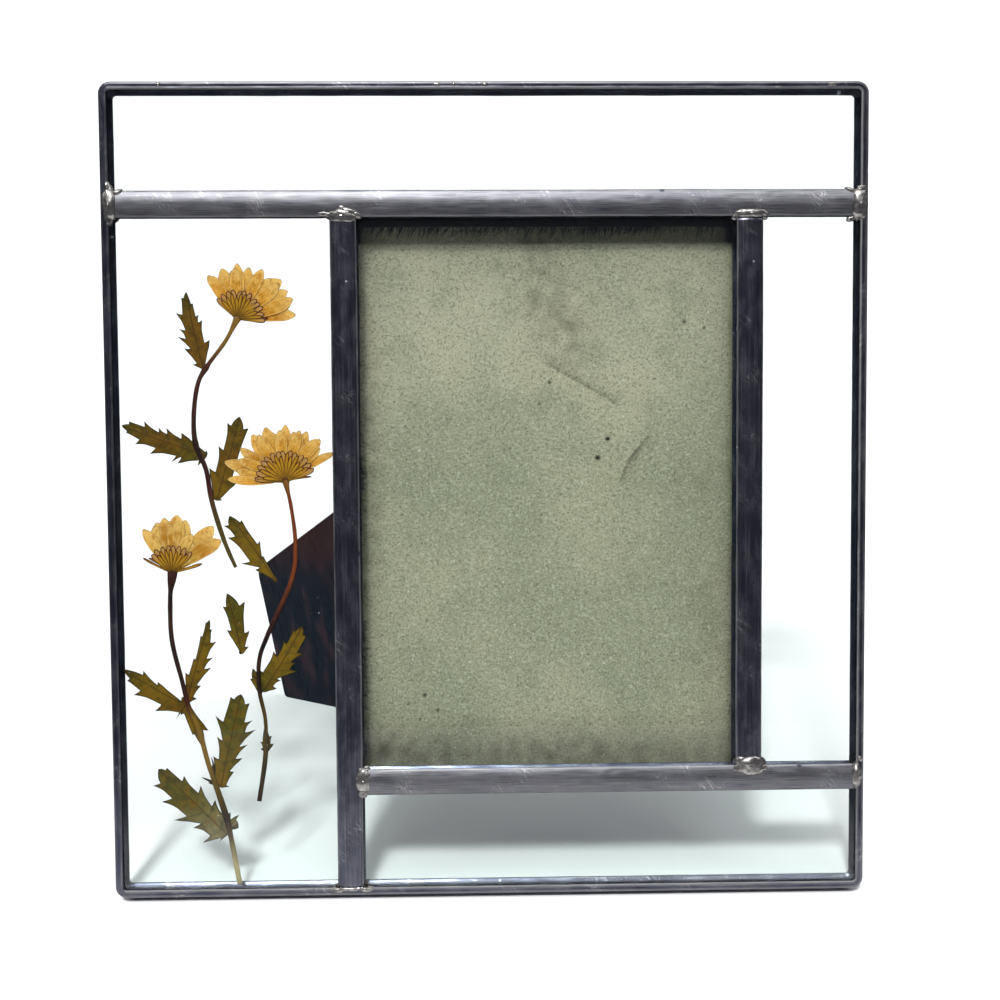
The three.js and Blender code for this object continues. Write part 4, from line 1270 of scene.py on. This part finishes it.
def reach_at(knots, row):
    """The outline's reach at a row: slow at first after a notch, then out into the tooth's tip."""
    for index, ((a, low), (b, high)) in enumerate(zip(knots, knots[1:])):
        if row <= b:
            t = (row - a) / max(1e-6, b - a)
            if index % 2 == 1:
                return low + (high - low) * t**0.5
            if b == knots[-1][0]:
                return low + (high - low) * t**1.5
            body = min(high, max(low, high * 0.74))
            return low + (body - low) * min(1.0, t / 0.75) + (high - body) * max(0.0, (t - 0.45) / 0.55) ** 2
    return knots[-1][1]


def distances(points, outline):
    """How far each flat point lies from an outline of flat points."""
    p = np.array(points)[:, None, :]
    a = np.array(outline)[None, :, :]
    run = np.roll(a, -1, axis=1) - a
    t = np.clip(((p - a) * run).sum(2) / np.maximum((run**2).sum(2), 1e-9), 0, 1)
    return np.sqrt((((p - a) - run * t[..., None]) ** 2).sum(2)).min(1)


def add_sheet(heap, flat, points, kept, pigment, columns, blunt):
    """Adds a blade listed row by row, whose points also keep their distance from its outline."""
    rows, count = len(points) // columns, len(points)
    rim = [*range(0, count, columns), *(range(count - columns, count) if blunt else ())]
    rim += range(count - 1, -1, -columns)
    insets = distances(flat, [flat[i] for i in rim])
    blade = [(*place, inset) for place, inset in zip(kept, insets)]
    heap.add(points, grid_faces(rows, columns), blade=blade, pigment=pigment)


def blade(heap, base, tip, tones, left, right, seed, level):
    """Adds one toothed blade to a heap, as a grid of slanting rows."""
    base, tip = Vector(base), Vector(tip)
    length, axis = (tip - base).length, (tip - base).normalized()
    across = Vector((-axis.y, axis.x))
    knots = {1: outline_knots(left, length), -1: outline_knots(right, length)}
    veins = {side: [row for row, _ in knots[side][1:-1:2]] for side in knots}
    teeth = [tip] + [base + axis * forward + across * side * reach
                     for side, listed in ((1, left), (-1, right)) for forward, reach in listed]
    rows = {row for side in knots.values() for row, _ in side}
    rows |= {row + step for side in veins.values() for row in side for step in (-0.26, -0.13, 0.13)}
    rows = sorted({row for row in rows if row >= 0} | {i * ROW_STEP for i in range(int(length / ROW_STEP))})
    rows = [row for i, row in enumerate(rows) if i == 0 or row - rows[i - 1] > 0.04]
    flat, points, kept, pigment = [], [], [], []
    for row in rows:
        bow = 0.35 * math.sin(math.pi * row / length) * math.sin(seed)
        tone = between_stops([(0, tones[0]), (0.5, tones[1]), (1, tones[2])], row / length)
        for column in range(-COLUMNS, COLUMNS + 1):
            side = 1 if column >= 0 else -1
            out = reach_at(knots[side], row) * (abs(column) / COLUMNS)
            at = base + axis * (row + lean(row, length) * out) + across * (side * out + bow)
            rib = 0.12 * math.exp(-((out / 0.35) ** 2)) * (1 - 0.6 * row / length)
            vein = max([math.exp(-(((row - at_row) / 0.15) ** 2)) for at_row in veins[side]], default=0)
            vein *= out > 0.3
            curl = 0.1 * wobble(seed, at.x / 5, at.y / 5)
            flat.append(tuple(at))
            points.append((at.x, level + curl - rib - 0.05 * vein, at.y))
            kept.append((row, side * out))
            shade = (1 + 0.5 * wobble(seed + 1, at.x / 2.2, at.y / 2.2)) * (1 - 0.5 * vein)
            withered = 0.85 * math.exp(-((min((at - tooth).length for tooth in teeth) / 0.9) ** 2))
            colour = [(1 - withered) * value * shade + withered * dark for value, dark in zip(tone, DARK)]
            pigment.append((*colour, 1))
    add_sheet(heap, flat, points, kept, pigment, 2 * COLUMNS + 1, False)


for seed, (name, given) in enumerate(LEAVES.items(), start=71):
    heap = Heap()
    blade(heap, *given, seed, BACK_LAYER + 0.12)
    for i, extra in enumerate(EXTRAS.get(name, [])):
        blade(heap, *extra, seed + 40 + i, BACK_LAYER + 0.16)
    thicken(heap.object("pressed_" + name, LEAF, "leaf", [name]), LEAF_THICKNESS)
print(len(LEAVES), "leaves")

# %% [markdown]
# Each daisy was pressed side on, so its petals open like a fan above the bracts, the narrow green
# scales that held the bud. One sheet with a petal pattern would be light, but petals overlap, and two
# layers let less light through than one. So every petal is its own thin blade at its own depth. The
# bracts lie in front, in two ranks, with dark tips that draw a scalloped line across the petals.

# %% Flower heads
PETAL_THICKNESS, PETAL_FOOT, SCALE_FOOT = 0.07, 3.5, 0.6
PETAL_ROWS, PETAL_COLUMNS = 16, 6
# The honey at the foot of the petals is partly their own colour and partly painted shade, where the petals crowd
# together.
HONEY, STRAW, CREAM = (0.52, 0.22, 0.01), (0.74, 0.39, 0.045), (0.84, 0.6, 0.2)
BUFF, AMBER = (0.7, 0.44, 0.1), (0.52, 0.22, 0.012)
SCALE_GOLD, SCALE_DARK, WINE = (0.42, 0.2, 0.008), (0.18, 0.08, 0.004), (0.42, 0.22, 0.08)


def petal_half(share, wide):
    """A petal's half width: narrow at its foot, widest at two thirds, with a blunt point."""
    if share < 0.64:
        return wide * (0.45 + 0.55 * math.sin(math.pi / 2 * share / 0.64))
    return wide * max(0.0, 1 - ((share - 0.64) / 0.37) ** 2) ** 0.66


def scale_half(share, wide):
    """A bract's half width: even, with a round tip."""
    if share < 0.75:
        return wide * (0.6 + 0.4 * share / 0.75)
    return wide * math.sqrt(max(0.0, 1 - ((share - 0.75) / 0.26) ** 2))


def ray(heap, foot, angle, start, end, wide, half, tones, level, bend, seed, notched=True):
    """Adds a petal or bract to a heap: a narrow blade that points out from the foot of the head."""
    flat, points, kept, pigment = [], [], [], []
    bright = 1 + 0.12 * wobble(seed, angle / 9)
    for i in range(PETAL_ROWS + 1):
        share = 1 - (1 - i / PETAL_ROWS) ** 1.35
        turned = math.radians(angle + bend * share**2)
        out, side = Vector((math.sin(turned), math.cos(turned))), Vector((math.cos(turned), -math.sin(turned)))
        tone = between_stops([(0, tones[0]), (0.55, tones[1]), (1, tones[2])], share)
        for column in range(-PETAL_COLUMNS, PETAL_COLUMNS + 1):
            across = column / PETAL_COLUMNS
            lobes = (0.25 + 0.5 * abs(wobble(seed, 7.7))) * share**8 * abs(math.sin(1.5 * math.pi * across)) * notched
            reach = start + (end - start) * share - lobes
            uneven = 1 + 0.14 * wobble(seed + 5, share * 3, math.copysign(2, across)) * notched
            width = half(share, wide) * across * uneven
            at = Vector(foot) + out * reach + side * width
            flute = 0.06 * math.cos(across * math.pi * 3) * (1 - 0.5 * share)
            flat.append(tuple(at))
            points.append((at.x, level + flute + 0.06 * wobble(seed, at.x / 2, at.y / 2), at.y))
            kept.append((reach, width + seed * 3.7))
            pigment.append((*(value * bright for value in tone), 1))
    add_sheet(heap, flat, points, kept, pigment, 2 * PETAL_COLUMNS + 1, True)


print("a blade is", PETAL_ROWS, "rows long and", 2 * PETAL_COLUMNS, "columns wide")

# %% [markdown]
# No two petals of a pressed daisy lie alike: they twist, shrink and slide over each other. Scattering
# them by chance would give a neat rosette, so the angle, reach and width of each petal are listed.
# Chance only bends them a little, and fills a second rank behind with petals in between.

# %% Petals and bracts of each head
# A petal is its angle from straight up, its reach and its half width.
HEADS = {
    "flower_head_a": dict(
        foot=(-75.1, 53.2), tones=(HONEY, STRAW, CREAM), scale_reach=8.3, fan=(-46, 94), scales=23,
        petals=[(-30, 15.4, 1.9), (-17, 15.5, 2.1), (-9, 14.4, 1.7), (-1, 15.1, 1.8), (5, 16.4, 1.7),
                (17, 15.7, 1.9), (28, 16.5, 2.0), (37, 15.8, 1.9), (45, 17.6, 2.6), (54, 16.4, 2.1),
                (61, 17.3, 2.2), (69, 16.4, 2.2), (76, 17.8, 2.2), (84, 17.6, 2.0)],
        loose=[(95, 9.2, 0.4), (-39, 7.5, 0.45), (100, 8.2, 0.35)],
    ),
    "flower_head_b": dict(
        foot=(-61.4, 4.2), tones=(HONEY, STRAW, CREAM), scale_reach=9.3, fan=(-86, 68), scales=27,
        petals=[(-89, 17.5, 1.5), (-80, 15.2, 1.6), (-71, 19.4, 2.0), (-62, 15.6, 1.6), (-55, 16.9, 1.7),
                (-39, 17.2, 2.1), (-31, 16.2, 2.0), (-22, 17.3, 2.2), (-14, 15.9, 2.2), (-6, 15.5, 1.9),
                (-1, 17.0, 1.8), (7, 15.2, 1.8), (14, 15.9, 1.8), (21, 15.3, 1.9), (26, 16.4, 1.9),
                (36, 16.5, 2.1), (44, 14.6, 1.7), (57, 17.2, 1.3)],
        loose=[(70, 9.5, 0.4), (-88, 9.4, 0.4), (78, 8, 0.35)],
    ),
    "flower_head_c": dict(
        foot=(-96.1, -23.4), tones=(BUFF, BUFF, CREAM), scale_reach=8.4, fan=(-46, 46), scales=15,
        petals=[(-31, 15.8, 1.8), (-22, 15.2, 2.6), (-14, 15.9, 2.8), (-4, 16.9, 2.3), (8, 17.7, 2.7),
                (17, 16.7, 2.6), (24, 13.4, 1.8), (33, 11.5, 1.6), (42, 19.0, 2.6), (52, 18.0, 2.4)],
        loose=[(-64, 9.7, 0.4), (75, 9.5, 0.5), (62, 8.4, 0.4), (-52, 8.2, 0.4)],
    ),
}


def flower_head(name, foot, tones, scale_reach, fan, scales, petals, loose, seed):
    rng, heap = random.Random(seed), Heap()
    between = [((a + b) / 2, min(near, far) - rng.uniform(0.4, 2.4), 0.85 * wide)
               for (a, near, wide), (b, far, _) in zip(petals, petals[1:]) if b - a < 16]
    for i, (angle, reach, wide) in enumerate(petals + between):
        level = FRONT_LAYER + 0.34 + (0.1 * (i % 3) if i < len(petals) else 0.3 + 0.08 * (i % 2))
        darker = tuple(value * rng.uniform(0.8, 1.05) for value in tones[0])
        middle = AMBER if rng.random() < 0.16 else tones[1]
        ray(heap, foot, angle, PETAL_FOOT, reach, wide, petal_half, (darker, middle, tones[2]), level,
            rng.uniform(-5, 5), seed + i)
    thicken(heap.object("petals_" + name[-1], PETAL, "petals", [name]), PETAL_THICKNESS)
    heap, (low, high) = Heap(), fan
    for i in range(scales):
        angle = low + (high - low) * i / (scales - 1) + rng.uniform(-1.5, 1.5)
        back_rank = i % 2 == 0
        reach = scale_reach * (1 if back_rank else rng.uniform(0.72, 0.92)) + rng.uniform(-0.3, 0.3)
        wide, ahead, last = (0.84, 0.22, WINE) if back_rank else (0.52, 0.12, SCALE_GOLD)
        ray(heap, foot, angle, SCALE_FOOT, reach, wide * scale_reach / 8, scale_half,
            (SCALE_DARK, SCALE_GOLD, last), FRONT_LAYER + ahead, rng.uniform(-3, 3), seed + 30 + i, notched=False)
    for i, (angle, reach, wide) in enumerate(loose):
        ray(heap, foot, angle, 0.8, reach, wide, scale_half, (SCALE_GOLD, SCALE_GOLD, SCALE_DARK),
            FRONT_LAYER + 0.3, rng.uniform(-6, 6), seed + 60 + i, notched=False)
    thicken(heap.object("bracts_" + name[-1], BRACT, "petals"), PETAL_THICKNESS)


for seed, (name, given) in enumerate(HEADS.items(), start=91):
    flower_head(name, seed=seed, **given)
print(len(HEADS), "flower heads with", sum(len(given["petals"]) for given in HEADS.values()), "petals")

# %% [markdown]
# Behind the opening, three L-shaped strips of came metal stand on the frame and hold the card, tacked on
# with small drops of solder. A plain box would do from far off, but the sweep that made the cames gives
# them the same wavering edges and streaks.

# %% Strips that hold the card
STRIP_WALL, STRIP_LIP = 0.7, 4.0
LIP_FRONT, LIP_BACK = 13.5, 14.2
STRIP_STEP = 2
TACK_RINGS, TACK_SPOKES = 8, 24
TACK_HALF_WIDTH, TACK_HALF_HEIGHT, TACK_LEVEL, TACK_RISE = 0.6, 2.4, 9.6, 1.5


def back_strip(end_name, side, upright, fixed, start, end, seed):
    def shape(along, across, depth):
        if depth > LIP_FRONT:
            across += 0.08 * wobble(seed, along / 12)
            depth += 0.06 * max(0.0, wobble(seed + 1, along / 9))
        return across, depth

    section = [(0, CARD_FRONT, 0.1), (side * STRIP_WALL, CARD_FRONT, 0.1), (side * STRIP_WALL, LIP_BACK - 0.2, 0.1),
               (side * (STRIP_WALL - 0.2), LIP_BACK, 0.7), (-side * (STRIP_LIP - 0.2), LIP_BACK, 0.7),
               (-side * STRIP_LIP, LIP_BACK - 0.2, 0.7), (-side * STRIP_LIP, LIP_FRONT + 0.1, 0.1),
               (-side * (STRIP_LIP - 0.1), LIP_FRONT, 0.1), (0, LIP_FRONT, 0.1)]
    heap = sweep(straight(upright, fixed, start, end, STRIP_STEP), section, shape, seed * 13)
    heap.object("holding_strip_" + end_name, PATINA, "came", ["back_strip_" + end_name])


def tack(heap, x, z, seed):
    """A drop of solder where a strip stands on a came."""
    points, rubbed = [], []
    for ring in range(TACK_RINGS + 1):
        share = ring / TACK_RINGS
        for spoke, (c, s) in enumerate(circle(TACK_SPOKES)):
            uneven = 1 + 0.2 * wobble(seed, c * 2, s * 2)
            rise = TACK_RISE * math.sqrt(max(0.0, 1 - share**2)) * (1 + 0.2 * wobble(seed + 1, ring, spoke / 4))
            across, up = TACK_HALF_WIDTH * share * uneven * c, TACK_HALF_HEIGHT * share * uneven * s
            points.append((x + across, TACK_LEVEL + rise, z + up))
            rubbed.append(0.5 * share)
    heap.add_rings(points, TACK_SPOKES, rubbed=rubbed)


card_left, card_right = CARD_LEFT - 0.3, CARD_RIGHT + 0.3
back_strip("left", -1, True, card_left, CARD_BOTTOM - 0.3, CARD_TOP - 0.3, 81)
back_strip("right", 1, True, card_right, CARD_BOTTOM - 0.3, CARD_TOP - 0.3, 82)
back_strip("bottom", -1, False, CARD_BOTTOM - 0.3, card_left + 4.3, card_right - 4.3, 83)
tacks = Heap()
for seed, z in enumerate((-84, -28, 30, 84), start=84):
    tack(tacks, card_left - 0.45, z, seed)
    tack(tacks, card_right + 0.45, z, seed + 10)
tacks.object("strip_tacks", SOLDER, "solder")
print("three strips and eight tacks")

# %% [markdown]
# The velvet is glued to the card and to the leg. A flat face with a bumpy material would look like
# rubber at the edge, so the nap's surface is modelled too: it waves a little and rolls over at the
# border. The leg itself is two sheets of card, covered in front with glossy paper. It is drawn hanging
# straight down from its pin, and its own matrix swings it out and turns it to the frame.

# %% Velvet and leg
HINGE_TURN = math.radians(45)
LEG_OPEN = 2 * math.atan(math.sqrt(2) * math.tan(LEAN))
AT_PIN = (
    Matrix.Translation(Vector(frame["joints"][0]["pos_m"]))
    @ Matrix.Rotation(-LEAN, 4, "X")
    @ Matrix.Rotation(HINGE_TURN, 4, "Y")
)
ON_CARD = AT_PIN @ Matrix.Scale(MM, 4)
ON_LEG = AT_PIN @ Matrix.Rotation(LEG_OPEN, 4, "X") @ Matrix.Scale(MM, 4)
LEG_LENGTH, FOOT_EDGE, LEG_TOP_HALF = 218.9, 62.5, 20.8
LEG_THICK, LEG_VELVET, KNUCKLE_RADIUS = 2.0, 0.6, 1.7
NAP_STEP, NAP_FRONT, NAP_SHEET = 1.6, 12.6, 0.15


def rounded(corners, steps=5):
    """An outline whose corners, (x, z, radius), are rounded."""
    outline = []
    for i, (x, z, radius) in enumerate(corners):
        before, after = corners[i - 1], corners[(i + 1) % len(corners)]
        here = Vector((x, z))
        back, on = (Vector(before[:2]) - here).normalized(), (Vector(after[:2]) - here).normalized()
        for k in range(steps + 1):
            t = k / steps
            start, end = here + back * radius, here + on * radius
            outline.append((1 - t) ** 2 * start + 2 * t * (1 - t) * here + t * t * end)
    return outline


def slab(heap, outline, front, back, soft):
    """A flat piece with softened edges."""
    middle = sum(outline, Vector((0, 0))) / len(outline)
    layers = [(front, soft), (front + soft * 0.3, soft * 0.3), (front + soft, 0), (back - soft, 0),
              (back - soft * 0.3, soft * 0.3), (back, soft)]
    points = []
    for depth, inset in layers:
        for at in outline:
            toward = middle - at
            flat = at + toward * (inset / toward.length)
            points.append((flat.x, depth, flat.y))
    heap.add_rings(points, len(outline))


def card_nap():
    """A rectangle of velvet with a gently uneven face and rolled borders."""
    heap, points = Heap(), []
    xs, zs = steps_between(CARD_LEFT, CARD_RIGHT, NAP_STEP), steps_between(CARD_BOTTOM, CARD_TOP, NAP_STEP)
    for z in zs:
        for x in xs:
            border = min(x - CARD_LEFT, CARD_RIGHT - x, z - CARD_BOTTOM, CARD_TOP - z)
            rolled = 0.4 * max(0.0, 1 - border / NAP_STEP) ** 2
            points.append((x, NAP_FRONT + LEG_VELVET - rolled + 0.05 * wobble(95, x / 3, z / 3), z))
    heap.add(points, grid_faces(len(zs), len(xs)))
    thicken(heap.object("card_nap", VELVET, "velvet", ["card_back_velvet"]), NAP_SHEET, toward_front=True)


def easel_leg():
    shoulder, top = FOOT_EDGE / math.sqrt(2), -KNUCKLE_RADIUS - 0.4
    outline = rounded([
        (0, -LEG_LENGTH, 1.7), (shoulder, -LEG_LENGTH + shoulder, 3.4), (LEG_TOP_HALF, top, 1.2),
        (-LEG_TOP_HALF, top, 1.2), (-shoulder, -LEG_LENGTH + shoulder, 3.4),
    ])
    board, cloth = Heap(), Heap()
    slab(board, outline, -LEG_THICK, 0, 0.25)
    slab(cloth, outline, 0.3, 0.3 + LEG_VELVET, 0.3)
    board.object("leg_card", LINING, "lining_paper", ["leg_board"], "easel_leg", ON_LEG, smooth=False)
    cloth.object("leg_nap", VELVET, "velvet", ["leg_velvet"], "easel_leg", ON_LEG, smooth=False)


card_nap()
easel_leg()
print("velvet, and a leg open", round(math.degrees(LEG_OPEN), 1), "degrees")

# %% [markdown]
# The hinge has two leaves of thin sheet, curled round a pin, and each leaf is held by rivets. The CAD
# model's flat blocks would pass from far off, but they are redrawn here with round corners, round
# knuckles and domed rivet heads. One leaf rides on the frame and the other on the leg.

# %% Hinge
HINGE_LENGTH, HINGE_LEAF, LEAF_REACH = 36.0, 0.5, 14.0
PIN_RADIUS, KNUCKLES, KNUCKLE_GAP = 0.8, 5, 0.3
LEAF_ON_CARD = -3.1
RIVETS, RIVET_REACH = (-12, 0, 12), 8.5


def turned(heap, profile, start, sides=28):
    """A round part about the pin's line. profile lists (distance along, radius)."""
    points = [(start + along, radius * c, radius * s) for along, radius in profile for c, s in circle(sides)]
    heap.add_rings(points, sides, joined=True)


def rivet(heap, x, z, level):
    """A low domed head that stands on a leaf."""
    profile = [(1.7, -0.1), (1.7, 0.12), (1.45, 0.42), (1.0, 0.62), (0.5, 0.72), (0.12, 0.75)]
    heap.add_rings([(x + r * c, level + rise, z + r * s) for r, rise in profile for c, s in circle(24)], 24)


def hinge_leaf(first, front, tongue, sign, web, web_depths, rivet_level):
    """The flat of a leaf, every second knuckle with the web that holds it, and three rivets."""
    heap, half = Heap(), HINGE_LENGTH / 2
    near, far = sign * tongue, sign * LEAF_REACH
    slab(heap, rounded([(-half, near, 0.4), (half, near, 0.4), (half, far, 3), (-half, far, 3)]), front,
         front + HINGE_LEAF, 0.12)
    outer, inner, soft = KNUCKLE_RADIUS, PIN_RADIUS + 0.25, 0.12
    width = (HINGE_LENGTH - (KNUCKLES - 1) * KNUCKLE_GAP) / KNUCKLES
    for i in range(first, KNUCKLES, 2):
        start = -half + i * (width + KNUCKLE_GAP)
        end = start + width
        turned(heap, [(0, inner), (0, outer - soft), (soft, outer), (end - start - soft, outer),
                      (end - start, outer - soft), (end - start, inner)], start)
        low, high = web
        slab(heap, [Vector(at) for at in ((start, low), (end, low), (end, high), (start, high))], *web_depths, 0.05)
    for x in RIVETS:
        rivet(heap, x, sign * RIVET_REACH, rivet_level)
    return heap


def hinge():
    on_card = hinge_leaf(0, LEAF_ON_CARD, 0.2, 1, (0.2, 1.0), (LEAF_ON_CARD, -1.1), LEAF_ON_CARD + HINGE_LEAF)
    level = KNUCKLE_RADIUS - HINGE_LEAF
    on_leg = hinge_leaf(1, level, 2.4, -1, (-3, -0.4), (level, KNUCKLE_RADIUS), KNUCKLE_RADIUS)
    pin, half = Heap(), HINGE_LENGTH / 2 + 0.6
    turned(pin, [(0, 0.02), (0, 0.6), (0.25, PIN_RADIUS), (2 * half - 0.25, PIN_RADIUS), (2 * half, 0.6),
                 (2 * half, 0.02)], -half)
    on_card.object("hinge_upper_leaf", HINGE, "hinge", ["hinge_leaf_board"], "frame", ON_CARD, smooth=False)
    on_leg.object("hinge_lower_leaf", HINGE, "hinge", ["hinge_leaf_leg"], "easel_leg", ON_LEG, smooth=False)
    pin.object("hinge_rod", HINGE, "hinge", ["hinge_pin"], "frame", ON_CARD)


hinge()
print("hinge with", KNUCKLES, "knuckles")

# %% [markdown]
# Clean glass is hard to see, and a little dust makes it real. White dots in the glass material would
# have to be mixed into the clear shader, so the specks are tiny flat chips on the front sheets instead,
# in one mesh.

# %% Dust on the glass
GLASS_FACE, CHIP_CORNERS, GLASS_PER_CHIP = 1.1, 6, 210
# Each pane's left, bottom, right and top.
PANES = [(-111, -119, -47, 82), (-38, -83, 74, 82), (-111, 91, 111, 119), (83.5, -83, 111, 82), (-38, -119, 111, -92)]


def dust():
    heap, rng = Heap(), random.Random(41)
    for left, bottom, right, top in PANES:
        for _ in range(int((right - left) * (top - bottom) / GLASS_PER_CHIP)):
            x, z = rng.uniform(left, right), rng.uniform(bottom, top)
            size = rng.uniform(0.05, 0.12)
            points = []
            for level in (GLASS_FACE - 0.01, GLASS_FACE - 0.05):
                for c, s in circle(CHIP_CORNERS):
                    r = size * rng.uniform(0.6, 1.3)
                    points.append((x + r * c, level, z + r * s))
            heap.add_rings(points, CHIP_CORNERS)
    heap.object("glass_dust", DUST, "glass")
    return len(heap.points) // (2 * CHIP_CORNERS)


print(dust(), "specks of dust")
